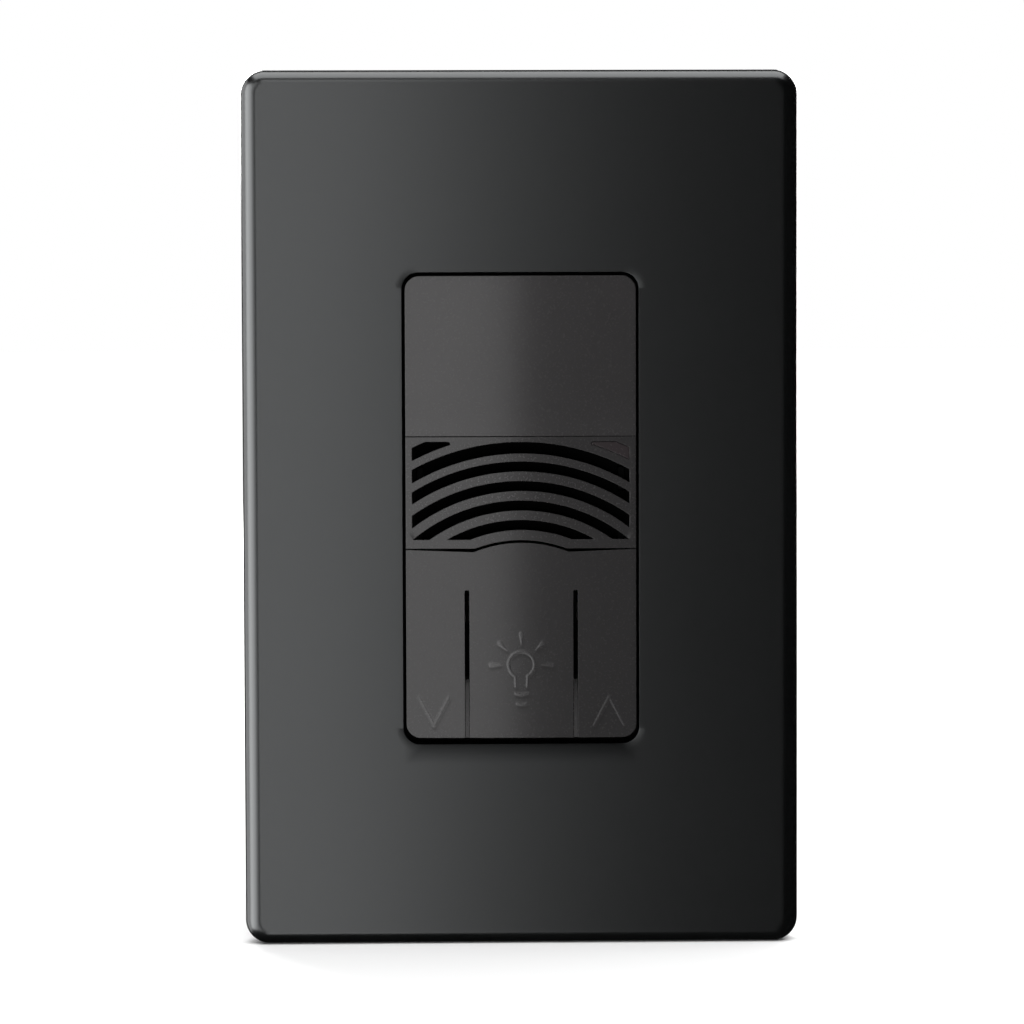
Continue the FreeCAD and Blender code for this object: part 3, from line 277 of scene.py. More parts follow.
def front_relief(edges, strokes=()):
    """The height function of a face: ridge, rounded edges and raised strokes.

    Each of the edges is (lines, radius, closed). The insert's outer edge is always rounded.
    """
    def relief(points):
        x = points[:, 0]
        root = np.sqrt(x * x + RIDGE_HALF**2)
        y = INSERT_FRONT + RIDGE_SLOPE * (root - RIDGE_HALF)
        slope = np.stack([RIDGE_SLOPE * x / root, np.zeros(len(x))], 1)
        drop, fall = rounding(*insert_distance(points), INSERT_EDGE_R)
        for lines, r, closed in edges:
            other, other_fall = rounding(*nearest(points, lines, closed), r)
            deeper = other > drop
            drop, fall = np.where(deeper, other, drop), np.where(deeper[:, None], other_fall, fall)
        y, slope = y + drop, slope + fall
        if strokes:
            signed, away = stroke_distance(points, strokes)
            t = np.clip(-signed / STROKE_RAMP, 0, 1)
            y = y - EMBOSS * t * t * (3 - 2 * t)
            slope = slope + away * (EMBOSS * 6 * t * (1 - t) / STROKE_RAMP)[:, None]
        return y, slope
    return relief


# ---- meshes
def even_odd(points, loops):
    """Which points lie inside an odd number of the loops."""
    inside = np.zeros(len(points), bool)
    x, z = points[:, 0], points[:, 1]
    for loop in loops:
        p = np.array(loop, float)
        for (x0, z0), (x1, z1) in zip(p, np.roll(p, -1, 0)):
            if z0 == z1:
                continue
            crosses = (z0 > z) != (z1 > z)
            inside ^= crosses & (x < (x1 - x0) * (z - z0) / (z1 - z0) + x0)
    return inside


def triangulate(loops, guides):
    """Triangles that fill the space between the loops, with edges along each guide.

    A guide is (line, closed).
    """
    points, edges = [], []
    for line, closed in [(loop, True) for loop in loops] + list(guides):
        first, count = len(points), len(line)
        points += [Vector((float(x), float(z))) for x, z in line]
        edges += [(first + i, first + (i + 1) % count)
                  for i in range(count if closed else count - 1)]
    verts, _, faces, _, _, _ = delaunay_2d_cdt(points, edges, [], 0, 2e-4)
    verts = np.array([(v.x, v.y) for v in verts])
    faces = np.array([f for f in faces if len(f) == 3])
    faces = faces[even_odd(verts[faces].mean(1), loops)]
    used, packed = np.unique(faces, return_inverse=True)
    verts, faces = verts[used], packed.reshape(-1, 3)
    a, b, c = verts[faces[:, 0]], verts[faces[:, 1]], verts[faces[:, 2]]
    turn = (b - a)[:, 0] * (c - a)[:, 1] - (b - a)[:, 1] * (c - a)[:, 0]
    faces[turn < 0] = faces[turn < 0][:, ::-1]
    return verts, faces[np.abs(turn) > 1e-9]


def rim_edges(faces):
    """The edges that belong to one triangle only, in that triangle's direction."""
    edges = {(int(f[i]), int(f[(i + 1) % 3])): None for f in faces for i in range(3)}
    return [(a, b) for a, b in edges if (b, a) not in edges]


def add_object(name, data):
    """An object in the scene for a mesh, light or camera."""
    obj = bpy.data.objects.new(name, data)
    bpy.context.scene.collection.objects.link(obj)
    return obj


def new_object(name, bm):
    """An object made from a bmesh in millimetres, with its faces turned outwards."""
    mesh = bpy.data.meshes.new(name)
    bmesh.ops.recalc_face_normals(bm, faces=bm.faces)
    bmesh.ops.scale(bm, vec=(MM, MM, MM), verts=bm.verts)
    bm.to_mesh(mesh)
    bm.free()
    return add_object(name, mesh)


def smooth_by_angle(mesh, degrees):
    mesh.shade_smooth()
    mesh.set_sharp_from_angle(angle=math.radians(degrees))


def slab(name, loops, guides, relief, extras, strokes=()):
    """A closed solid with a shaped front and a flat back, and extra blocks behind it.

    The front's shading normals come from the relief. Walls and back get the second material, the
    near-black painted shade. The attribute "raised" carries painted light on a symbol's crown and
    painted shadow at its foot.
    """
    flat, tris = triangulate(loops, guides)
    y, slope = relief(flat)
    n = len(flat)
    tone = stroke_painted_light_and_shadow(flat, strokes) if strokes else np.zeros(n)
    verts = [(x, yy, z) for (x, z), yy in zip(flat, y)] + [(x, INSERT_BACK, z) for x, z in flat]
    faces = [tuple(t) for t in tris.tolist()]
    fronts = len(faces)
    faces += [(c + n, b + n, a + n) for a, b, c in faces]
    faces += [(b, a, a + n, b + n) for a, b in rim_edges(tris)]
    mesh = bpy.data.meshes.new(name)
    mesh.from_pydata([Vector(v) * MM for v in verts], [], faces)
    bm = bmesh.new()
    bm.from_mesh(mesh)
    for extra in extras:
        add_block(bm, *[MM * v for v in extra])
    bm.to_mesh(mesh)
    bm.free()
    for polygon in mesh.polygons[fronts:]:
        polygon.material_index = 1
    smooth_by_angle(mesh, 35)
    # Painted light on the symbols' crowns and painted shadow at their feet, for the material.
    mesh.attributes.new("raised", "FLOAT", "POINT").data.foreach_set(
        "value", np.append(tone, np.zeros(len(mesh.vertices) - n)))
    normal = np.column_stack([slope[:, 0], -np.ones(n), slope[:, 1]])
    normal /= np.linalg.norm(normal, axis=1)[:, None]
    loop_normals = np.zeros((len(mesh.loops), 3))
    for polygon in mesh.polygons[:fronts]:
        for i in polygon.loop_indices:
            loop_normals[i] = normal[mesh.loops[i].vertex_index]
    mesh.normals_split_custom_set(loop_normals.tolist())
    return add_object(name, mesh)


def rotation(degrees, axis):
    return Matrix.Rotation(math.radians(degrees), 4, axis)


def around(middle, half):
    return middle - half, middle + half


def on_side(side, near, far):
    """The range between two distances from the middle, to its right (1) or left (-1)."""
    return sorted((side * near, side * far))


def add_block(bm, x0, x1, y0, y1, z0, z1, bevel=0.0):
    """A block with bevelled edges."""
    place = Matrix.Translation(((x0 + x1) / 2, (y0 + y1) / 2, (z0 + z1) / 2))
    size = Matrix.Diagonal((x1 - x0, y1 - y0, z1 - z0, 1))
    made = bmesh.ops.create_cube(bm, size=1, matrix=place @ size)
    if bevel:
        edges = list({e for v in made["verts"] for e in v.link_edges})
        bmesh.ops.bevel(bm, geom=edges, offset=bevel, segments=2, affect="EDGES", profile=0.5)


def skin(bm, rings):
    """Quads from each closed ring of vertices to the next."""
    for a, b in zip(rings, rings[1:]):
        for i in range(len(a)):
            j = (i + 1) % len(a)
            bm.faces.new((a[i], a[j], b[j], b[i]))


# ---- wall plate
# Half width, half height and corner radius of its three outlines.
OUTSIDE = (HALF_W, HALF_H, PLATE_CORNER_R)
INSIDE = tuple(size - PLATE_WALL for size in OUTSIDE)
OPENING = (OPENING_W / 2, OPENING_H / 2, OPENING_R)


def plate_ring(outline, grow, y):
    """One ring of the plate's loft. Where it lies at the back, the pry notch raises its middle."""
    half_w, half_h, r = (size + grow for size in outline)
    points = rounded_rect(half_w, half_h, max(r, 0.02), 90 / 14)
    per_corner = len(points) // 4
    marks = [-NOTCH_HALF - 0.05, -NOTCH_HALF, NOTCH_HALF, NOTCH_HALF + 0.05]
    points[per_corner:per_corner] = [(x, -half_h) for x in marks]
    notch = NOTCH_DEPTH if y >= -EDGE_BREAK else 0
    return [(x, y - notch if abs(x) <= NOTCH_HALF and z < 0.01 - half_h else y, z)
            for x, z in points]


def plate_profile():
    """Outline, growth and y of each ring: over the front, through the opening, round inside."""
    e, wall_y = EDGE_BREAK, PLATE_FRONT + PLATE_WALL
    rows = [(OUTSIDE, -e, 0), (OUTSIDE, 0, -e), (OUTSIDE, 0, SIDE_Y)]
    rows += [(OUTSIDE, -PLATE_EDGE_R * (1 - cos), PLATE_FRONT + PLATE_EDGE_R * (1 - sin))
             for sin, cos in quarter_turn(18)]
    rows += [(OUTSIDE, -PLATE_EDGE_R - 0.4, PLATE_FRONT), (OPENING, 1.2, PLATE_FRONT)]
    rows += [(OPENING, OPENING_EDGE_R * (1 - sin), PLATE_FRONT + OPENING_EDGE_R * (1 - cos))
             for sin, cos in quarter_turn(6)]
    rows += [(OPENING, grow, y) for grow, y in (
        (0, RIM_BACK - e), (e, RIM_BACK), (RIM_T - e, RIM_BACK), (RIM_T, RIM_BACK - e),
        (RIM_T, wall_y + 0.3), (RIM_T + 0.1, wall_y + 0.1), (RIM_T + 0.3, wall_y))]
    return rows + [(INSIDE, grow, y) for grow, y in (
        (-0.5, wall_y), (-e, wall_y + e), (0, wall_y + 0.5), (0, SIDE_Y), (0, -e), (e, 0))]


def wall_plate():
    """The plate's shell with the ribs and catches on its inside."""
    bm = bmesh.new()
    rows = [[bm.verts.new(point) for point in plate_ring(*row)] for row in plate_profile()]
    skin(bm, rows + rows[:1])
    inner_w, inner_h, _ = INSIDE
    for side in (-1, 1):
        for x in (-RIB_X, RIB_X):
            add_block(bm, *around(x, RIB_HALF), PLATE_FRONT + PLATE_WALL - 0.1, RIB_BACK,
                      *on_side(side, OPENING_H / 2 + RIM_T - 0.1, inner_h - RIB_GAP), 0.12)
        x, z = (on_side(side, reach - CATCH_DEPTH, reach + 0.1) for reach in (inner_w, inner_h))
        for place in (-CATCH_X, CATCH_X):
            add_block(bm, *around(place, CATCH_HALF), *CATCH_Y, *z, 0.1)
        for place in (-CATCH_Z, CATCH_Z):
            add_block(bm, *x, *CATCH_Y, *around(place, CATCH_HALF), 0.1)
    # The opening's rim and the faces behind the front get the second material, the near-black
    # painted shade in the gap round the insert.
    for face in bm.faces:
        x, y, z = face.calc_center_median()
        inside = abs(x) < OPENING_W / 2 + RIM_T and abs(z) < OPENING_H / 2 + RIM_T
        face.material_index = int(inside and y > PLATE_FRONT + OPENING_EDGE_R)
    plate = new_object("wall_plate_moulding", bm)
    smooth_by_angle(plate.data, 40)
    weighted = plate.modifiers.new("even_shading", "WEIGHTED_NORMAL")
    weighted.keep_sharp, weighted.weight = True, 100
    return plate


# ---- insert outlines
GUIDE_X, GUIDE_Z = 1.1, 2.7  # about how far apart the lines are
BEND_LINES = (0.3, 0.15, 0.0, -0.15, -0.3, -0.5)  # heights above the hinge line


def crown_guides(z0, z1, x0=-INSERT_HALF_W, x1=INSERT_HALF_W):
    """Lines along and across the face that keep its triangles even."""
    columns, rows = round((x1 - x0) / GUIDE_X), max(2, round((z1 - z0) / GUIDE_Z))
    xs = [x0 + (x1 - x0) * i / columns for i in range(1, columns)]
    zs = [z0 + (z1 - z0) * i / rows for i in range(1, rows)]
    return [([(x, z0), (x, z1)], False) for x in xs] + [([(x0, z), (x1, z)], False) for z in zs]


def perimeter_guides():
    """Lines round the insert where its outer rounding is sampled."""
    rings = [rounded_rect(INSERT_HALF_W - d, INSERT_HALF_H - d, INSERT_R - d)
             for d in fillet_steps(INSERT_EDGE_R, 5)]
    return [([(x, z + INSERT_MID) for x, z in ring], True) for ring in rings]


def edge_guides(lines, r, closed, count=3):
    """Lines beside each edge where its rounding is sampled."""
    return [(inset(line, d, closed), closed) for line in lines for d in fillet_steps(r, count)]


def skirt_blocks(z0, z1):
    """Low walls behind the two sides of the lens cap."""
    return [(*on_side(side, INSERT_HALF_W - SKIRT_T, INSERT_HALF_W - WALL_INSET), BLOCK_FRONT,
             SKIRT_BACK, z0, z1, 0.08) for side in (-1, 1)]


def leg_blocks(zs):
    """Hooked legs that hold a cap behind the frame's flange."""
    outer = INSERT_HALF_W - LEG_INSET
    return [(*on_side(side, near, far), front, LEG_BACK, *around(z, LEG_HALF), bevel)
            for z in zs for side in (-1, 1)
            for near, far, front, bevel in ((outer - LEG_T, outer, BLOCK_FRONT, 0.12),
                                            (outer - 0.1, outer + HOOK_REACH, HOOK_FRONT, 0.05))]


# ---- lens, grille, window, keys
def sensor_lens():
    seam = [(-INSERT_HALF_W, SEAM_LENS_HIGH), (INSERT_HALF_W, SEAM_LENS_HIGH)]
    w, z = INSERT_HALF_W - INSERT_R, INSERT_TOP - INSERT_R
    outline = refine(seam + arc(w, z, INSERT_R, 0, 90) + arc(-w, z, INSERT_R, 90, 180), 1.5)
    guides = perimeter_guides() + edge_guides([seam], SEAM_EDGE_R, False) \
        + crown_guides(SEAM_LENS_HIGH, INSERT_TOP)
    extras = skirt_blocks(SEAM_LENS_HIGH + 0.1, INSERT_TOP - INSERT_R) + leg_blocks(LENS_LEGS_Z)
    relief = front_relief([([seam], SEAM_EDGE_R, False)])
    return slab("sensor_lens_cap", [outline], guides, relief, extras)


def clipped_arc(r):
    """The part of a circle about the slots' centre inside their field, right to left."""
    low = max(math.degrees(math.asin((SLOT_BOTTOM - ARC_Z) / r)),
              math.degrees(math.acos(min(1, SLOT_HALF_SPAN / r))))
    return arc(0, ARC_Z, r, low, 180 - low, 1.2)


def arc_slot(k):
    """One concentric slot, clockwise, cut off at the sides and at the bottom."""
    outer_r = ARC_OUTER_R - k * ARC_PITCH
    width = ARC_SLOT_W + (TOP_SLOT_EXTRA if k == 1 else 0)
    outer, inner = clipped_arc(outer_r), clipped_arc(outer_r - width)
    in_corner = outer[0][1] > SLOT_BOTTOM + 0.01 and inner[0][1] < SLOT_BOTTOM + 0.01
    left, right = ([(x, SLOT_BOTTOM)] if in_corner else [] for x in around(0, SLOT_HALF_SPAN))
    return (outer + left + inner[::-1] + right)[::-1]


def arc_between(r, *ends):
    """The part of a circle about the slots' centre between two places across the face."""
    return arc(0, ARC_Z, r, *(math.degrees(math.acos(x / r)) for x in ends), 1.0)


def corner_slot(side, shrink=0.0):
    """A corner slot, clockwise, with its outer corner cut off along an arc."""
    outer_r, inner_r = ARC_OUTER_R - shrink, ARC_OUTER_R - CORNER_SLOT_W + shrink
    x_out, x_in, z_top = SLOT_HALF_SPAN - shrink, CORNER_SLOT_END + shrink, SLOT_TOP - shrink
    top_x = math.sqrt(outer_r**2 - (z_top - ARC_Z) ** 2)
    loop = arc_between(outer_r, x_out, top_x) + [(x_in + 0.25, z_top), (x_in, z_top - 0.25)] \
        + arc_between(inner_r, x_in, x_out)
    if side < 0:
        loop = [(-x, z) for x, z in reversed(loop)]
    return loop[::-1]


def refine(loop, pitch=0.9):
    """The closed loop with its long sides divided."""
    return [point for a, b in zip(loop, loop[1:] + loop[:1]) for point in split_line(a, b, pitch)]


def grille():
    groove_r = BUMP_R + BUMP_GAP
    start = math.degrees(math.asin((GRILLE_BOTTOM - ARC_Z) / groove_r))
    bottom = [(-INSERT_HALF_W, GRILLE_BOTTOM)] + arc(0, ARC_Z, groove_r, 180 - start, start, 1.5) \
        + [(INSERT_HALF_W, GRILLE_BOTTOM)]
    top = [(INSERT_HALF_W, SEAM_LENS_LOW), (-INSERT_HALF_W, SEAM_LENS_LOW)]
    slots = [refine(arc_slot(k)) for k in range(1, ARC_SLOTS)]
    slots += [refine(corner_slot(side)) for side in (-1, 1)]
    edges = [(slots, SLOT_EDGE_R, True), ([top, bottom], SEAM_EDGE_R, False)]
    guides = perimeter_guides() + edge_guides(*edges[0]) + edge_guides(*edges[1]) \
        + crown_guides(GRILLE_BOTTOM, SEAM_LENS_LOW)
    return slab("arched_grille", [refine(bottom + top), *slots], guides, front_relief(edges),
                leg_blocks(GRILLE_LEGS_Z))


def status_window():
    """The tinted pane in the right corner slot, a little below the grille's face."""
    loop = refine(corner_slot(1, WINDOW_SHRINK), 0.5)[::-1]
    edge = ([loop], 0.08, True)

    def relief(points):
        y, slope = front_relief([edge])(points)
        return y + WINDOW_SUNK, slope
    return slab("status_window_pane", [loop], edge_guides(*edge), relief, [LIGHT_PIPE])


def bridge_top(x0, x1):
    """The top edge of the panel between two places, from right to left."""
    knee = math.sqrt(BUMP_R**2 - (BRIDGE_TOP_MID - ARC_Z) ** 2)
    rate = (BRIDGE_TOP_SIDE - BRIDGE_TOP_MID) / (INSERT_HALF_W - knee)

    def height(x):
        if abs(x) < knee:
            return ARC_Z + math.sqrt(BUMP_R**2 - x * x)
        return BRIDGE_TOP_MID + rate * (abs(x) - knee)
    inner = [knee * math.cos(math.pi * i / 32) for i in range(33)]
    stops = sorted([x0, x1] + [x for x in inner if x0 < x < x1], reverse=True)
    return [(x, height(x)) for x in stops]


def slit_side(x, side):
    """One edge of a slit, from the panel's foot up to the middle of the slit's end."""
    edge, r = x + side * SLIT_W / 2, SLIT_END_R
    top = HINGE_Z + 0.05
    return [(edge, INSERT_FOOT), (edge, top - r), (edge - side * r * 0.3, top - r * 0.3),
            (edge - side * r, top), (x, top)]


def panel_piece(name, x0, x1, strokes, extras):
    """One third of the key panel, from the seam under the grille down to the foot."""
    top = bridge_top(x0, x1)
    left = slit_side(x0, 1)[::-1] if x0 > -INSERT_HALF_W else []
    right = slit_side(x1, -1) if x1 < INSERT_HALF_W else []
    edges = [([top], SEAM_EDGE_R, False)]
    edges += [([side], SLIT_EDGE_R, False) for side in (left, right) if side]
    w, z = INSERT_HALF_W - INSERT_R, INSERT_FOOT + INSERT_R
    foot_left = left[-1:] if left else arc(-w, z, INSERT_R, 180, 270)
    foot_right = right[:1] if right else arc(w, z, INSERT_R, 270, 360)
    outline = refine(left[:-1] + foot_left + foot_right + right[1:] + top, 1.2)
    guides = perimeter_guides() + crown_guides(INSERT_FOOT, max(z for _, z in top), x0, x1)
    for edge in edges:
        guides += edge_guides(*edge)
    guides += [([(x0, HINGE_Z + d), (x1, HINGE_Z + d)], False) for d in BEND_LINES]
    guides += stroke_guides(strokes)
    return slab(name, [outline], guides, front_relief(edges, strokes), extras, strokes)


def stroke_guides(strokes):
    """Outlines round each raised stroke, where its flank starts and ends."""
    guides = []
    for x0, z0, w0, x1, z1, w1 in strokes:
        turn = math.degrees(math.atan2(z1 - z0, x1 - x0))
        for grow in (0.6, 0.4, 0.26, 0.13, 0.0, -0.13, -0.24):
            a, b = max(w0 + grow, 0.03), max(w1 + grow, 0.03)
            guides.append((arc(x1, z1, b, turn - 90, turn + 90, 30)
                           + arc(x0, z0, a, turn + 90, turn + 270, 30), True))
    return guides


def polyline_strokes(points, half_width):
    return [(*a, half_width, *b, half_width) for a, b in zip(points, points[1:])]


def chevron(x, tip_z, open_z):
    """An open arrow of two strokes that meet at tip_z."""
    corners = [(x - CHEVRON_HALF, open_z), (x, tip_z), (x + CHEVRON_HALF, open_z)]
    return polyline_strokes(corners, STROKE_HALF)


def bulb_symbol():
    """A round bulb with a neck, two base bars and five tapered rays."""
    z = LAMP_Z
    ring = arc(0, z, LAMP_R, -62, 242, 12)
    strokes = polyline_strokes(ring, LAMP_STROKE)
    for side, shoulder in ((-1, ring[-1]), (1, ring[0])):
        strokes += polyline_strokes([shoulder, (side * 0.82, z - 3.07)], LAMP_STROKE * 0.9)
    strokes += polyline_strokes([(-0.8, z - 4.1), (0, z - 4.25), (0.95, z - 4.1)], STROKE_HALF)
    strokes += polyline_strokes([(-0.62, z - 5.55), (0, z - 5.66), (0.7, z - 5.55)], 0.28)
    for angle in (0, 45, 90, 135, 180):
        c, s = math.cos(math.radians(angle)), math.sin(math.radians(angle))
        stroke = [value for r, half in (RAY_START, RAY_END) for value in (r * c, z + r * s, half)]
        strokes.append(tuple(stroke))
    return strokes


def key_blocks(press_x, walls):
    """Walls along the slits, the post that presses the switch and the rib behind the key.

    Each of the walls is (x of its outer face, thickness with the sign of its direction).
    """
    low, high = INSERT_FOOT + INSERT_R, HINGE_Z - 1.2
    blocks = [(*sorted((x, x + t)), BLOCK_FRONT, SKIRT_BACK, low, high, 0.08) for x, t in walls]
    return blocks + [
        (*around(press_x, POST_HALF), BLOCK_FRONT, POST_BACK, *around(POST_Z, POST_HALF), 0.15),
        (*around(press_x, KEY_RIB_HALF), BLOCK_FRONT, SKIRT_BACK - 0.02, *KEY_RIB_Z, 0.1)]


def key_panel():
    """The three key caps. The fixed band above the keys is part of all three."""
    side, knee = INSERT_HALF_W - WALL_INSET, KNEE_X + WALL_INSET
    mid = SLIT_X - SLIT_W / 2 - WALL_INSET
    left = panel_piece("dim_down_key_cap", -INSERT_HALF_W, -SLIT_X,
                       chevron(-CHEVRON_X, CHEVRON_LOW, CHEVRON_HIGH),
                       key_blocks(-POST_X, [(-side, OUTER_WALL_T), (-knee, -INNER_WALL_T)]))
    feet = [(*around(x, FOOT_HALF), BLOCK_FRONT, FOOT_BACK, *FOOT_Z, 0.3)
            for x in around(0, FOOT_X)]
    middle = panel_piece("on_off_key_cap", -SLIT_X, SLIT_X, bulb_symbol(),
                         key_blocks(0.0, [(-mid, INNER_WALL_T), (mid, -INNER_WALL_T)]) + feet)
    right = panel_piece("dim_up_key_cap", SLIT_X, INSERT_HALF_W,
                        chevron(CHEVRON_X, CHEVRON_HIGH, CHEVRON_LOW),
                        key_blocks(POST_X, [(knee, INNER_WALL_T), (side, -OUTER_WALL_T)]))
    return left, middle, right


def slit_fins():
    """A fin in each slit that curves up to the keys' faces at the foot, and a web above it."""
    bm = bmesh.new()
    half, edge, foot = SLIT_W / 2 - FIN_GAP, FIN_BACK - 0.3, INSERT_FOOT + 0.08
    for x in (-SLIT_X, SLIT_X):
        front = INSERT_FRONT + RIDGE_SLOPE * (math.hypot(x, RIDGE_HALF) - RIDGE_HALF) + FIN_SUNK
        rows = []
        for i in range(FIN_STEPS + 1):
            share = i / FIN_STEPS
            y = edge + (front - edge) * math.sqrt(1 - (1 - share) ** 2)
            z = FIN_TOP + (foot - FIN_TOP) * share
            rows.append([bm.verts.new((x + side, yy, z)) for side, yy in
                         ((-half, FIN_BACK), (-half, y), (half, y), (half, FIN_BACK))])
        skin(bm, rows)
        bm.faces.new(rows[0])
        bm.faces.new(rows[-1])
    curved = len(bm.faces)
    for x in (-SLIT_X, SLIT_X):
        add_block(bm, *around(x, WEB_HALF), FIN_BACK + 0.02, FIN_BACK + WEB_T, FIN_TOP - 0.1,
                  WEB_TOP)
    # The webs get the second material, the near-black painted shade in the slit above the fins.
    bm.faces.ensure_lookup_table()
    for face in bm.faces[curved:]:
        face.material_index = 1
    fins = new_object("slit_fins", bm)
    smooth_by_angle(fins.data, 40)
    return fins


# ---- threaded screws
TURN_STEPS = 36
# Corners of the thread's profile, each (share of the pitch, share of the depth).
FLANKS = ((0.0, 0.0), (0.25, 0.0), (0.56, 1.0), (0.69, 1.0))
# Outer radius, depth and pitch of a number 6 machine screw and of a wire screw.
MACHINE_THREAD, WIRE_THREAD = (1.75, 0.47, 0.794), (2.0, 0.45, 0.794)
BOX_SPACING, SUBFRAME_SPACING = 83.34, 96.84


def turn_point(step, r, y):
    angle = 2 * math.pi * step / TURN_STEPS
    return (r * math.cos(angle), y, r * math.sin(angle))


def lathe_rings(bm, profile):
    """One ring of vertices for each (radius, y)."""
    return [[bm.verts.new(turn_point(i, r, y)) for i in range(TURN_STEPS)] for r, y in profile]


def thread(bm, r_out, depth, pitch, start, end):
    """A helical thread between two rings, which it meets at its root."""
    y0, y1, root = start[0].co.y, end[0].co.y, r_out - depth
    made = {}

    def vert(step, k):
        if k == len(FLANKS):
            step, k = step + TURN_STEPS, 0
        share, height = FLANKS[k]
        y = y0 + pitch * (step / TURN_STEPS + share)
        if y <= y0:
            return start[step % TURN_STEPS]
        if y >= y1:
            return end[step % TURN_STEPS]
        if (step, k) not in made:
            runout = min(1.0, (y - y0) / pitch, (y1 - y) / pitch)
            made[(step, k)] = bm.verts.new(turn_point(step, root + depth * height * runout, y))
        return made[(step, k)]
    for step in range(-TURN_STEPS, math.ceil((y1 - y0) / pitch * TURN_STEPS) + 1):
        for k in range(len(FLANKS)):
            corners = list(dict.fromkeys(vert(step + i, k + j)
                                         for i, j in ((0, 0), (1, 0), (1, 1), (0, 1))))
            if len(corners) > 2:
                bm.faces.new(corners)


def screw_solid(head, size, thread_start, thread_end, tip):
    """A screw along +Y. Size is the thread's (outer radius, depth, pitch).

    The head's profile runs from the middle of its top to the start of the thread.
    """
    bm = bmesh.new()
    r_out, depth, pitch = size
    root = r_out - depth
    rings = lathe_rings(bm, [*head, (root, thread_start)])
    skin(bm, rings)
    bm.faces.new(rings[0][::-1])
    ends = lathe_rings(bm, [(root, thread_end), (root * 0.75, thread_end + tip)])
    skin(bm, ends)
    bm.faces.new(ends[-1])
    thread(bm, r_out, depth, pitch, rings[-1], ends[0])
    return bm


def round_head(r, y_top, y_base, crown, neck_r):
    """Profile of a domed head on a neck."""
    dome = [(r * 0.04, y_top)]
    for sin, cos in quarter_turn(7)[1:]:
        dome.append((r - crown + crown * sin, y_top + crown * (1 - cos)))
    return dome + [(r, y_base - 0.12), (r - 0.12, y_base), (neck_r + 0.15, y_base),
                   (neck_r, y_base + 0.15)]


def cut_boxes(obj, boxes):
    """Cuts driver recesses out of a closed mesh."""
    bm = bmesh.new()
    for box in boxes:
        add_block(bm, *box)
    cutter = new_object(obj.name + "_cutter", bm)
    cut = obj.modifiers.new("cut", "BOOLEAN")
    cut.operation, cut.solver, cut.object, cut.use_self = "DIFFERENCE", "EXACT", cutter, True
    bpy.context.view_layer.update()
    mesh = bpy.data.meshes.new_from_object(obj.evaluated_get(bpy.context.evaluated_depsgraph_get()))
    obj.modifiers.clear()
    obj.data = mesh
    bpy.data.objects.remove(cutter)


def screws(name, solid, recesses, places):
    """Copies of one screw in one object. Each place is (x, y, z, rotation matrix)."""
    master = new_object(name, solid)
    cut_boxes(master, recesses)
    bm = bmesh.new()
    for *place, turn in places:
        start = len(bm.verts)
        bm.from_mesh(master.data)
        bm.verts.ensure_lookup_table()
        matrix = Matrix.Translation(Vector(place) * MM) @ turn
        bmesh.ops.transform(bm, matrix=matrix, verts=bm.verts[start:])
    bmesh.ops.recalc_face_normals(bm, faces=bm.faces)
    bm.to_mesh(master.data)
    bm.free()
    smooth_by_angle(master.data, 32)
    return master


def pair(spacing, degrees):
    """Places for two screws, one above the other, turned by this angle."""
    return [(0, 0, z, rotation(degrees, "Y")) for z in around(0, spacing / 2)]


def box_screws():
    """Two number 6 machine screws, with round heads for a flat or a cross driver."""
    seat = -1.4
    top = seat - 2.6
    head = round_head(3.4, top, seat, crown=1.5, neck_r=1.55)
    solid = screw_solid(head, MACHINE_THREAD, thread_start=0.5, thread_end=22.8, tip=1.2)
    recesses = [(-4, 4, top - 1, top + 1.1, -0.45, 0.45),
                (-0.5, 0.5, top - 1, top + 1.4, -2.2, 2.2)]
    return screws("captive_box_screws", solid, recesses, pair(BOX_SPACING, 15))


def frame_screws():
    """Two shorter screws with flat heads, which hold the plate's subframe."""
    seat = -3.0
    top = seat - 1.1
    head = round_head(3.0, top, seat, crown=0.5, neck_r=1.6)
    solid = screw_solid(head, MACHINE_THREAD, seat + 0.4, thread_end=5.0, tip=1.0)
    recesses = [(-4, 4, top - 1, top + 0.6, -0.45, 0.45)]
    return screws("subframe_screws", solid, recesses, pair(SUBFRAME_SPACING, -20))


def binding_screws(name, node, side):
    """Large-headed wire screws that face sideways, one for each solid of the CAD node."""
    low, high = box_mm(node)
    head_r, head_h = 3.9, 2.1
    x, y = high.x if side > 0 else low.x, (low.y + high.y) / 2
    zs = [low.z + head_r] if high.z - low.z < 10 else [low.z + head_r, high.z - head_r]
    head = round_head(head_r, 0.0, head_h, crown=0.8, neck_r=1.9)
    solid = screw_solid(head, WIRE_THREAD, head_h + 0.3, high.x - low.x - 0.6, tip=0.6)
    recesses = [(-5, 5, -1, 1.0, -0.5, 0.5), (-0.5, 0.5, -1, 1.2, -2.3, 2.3)]
    return screws(name, solid, recesses,
                  [(x, y, z, rotation(90 * side, "Z") @ rotation(25 + 50 * i, "Y"))
                   for i, z in enumerate(zs)])


# ---- materials
def connect(tree, socket, value):
    """Gives a socket a value or another node's output."""
    if hasattr(value, "links"):
        tree.links.new(value, socket)
    else:
        socket.default_value = value


def add_node(tree, kind, inputs=(), **settings):
    """A shader node with its settings and inputs."""
    node = tree.nodes.new(kind)
    for key, value in settings.items():
        setattr(node, key, value)
    for key, value in dict(inputs).items():
        connect(tree, node.inputs[key], value)
    return node


def mix_colour(tree, factor, a, b):
    """A colour between a and b."""
    return add_node(tree, "ShaderNodeMix", {0: factor, 6: a, 7: b}, data_type="RGBA").outputs[2]


def remap(tree, value, low, high, to_low, to_high):
    """The value moved from one range to another, and clamped to it."""
    inputs = {0: value, 1: low, 2: high, 3: to_low, 4: to_high}
    return add_node(tree, "ShaderNodeMapRange", inputs).outputs[0]


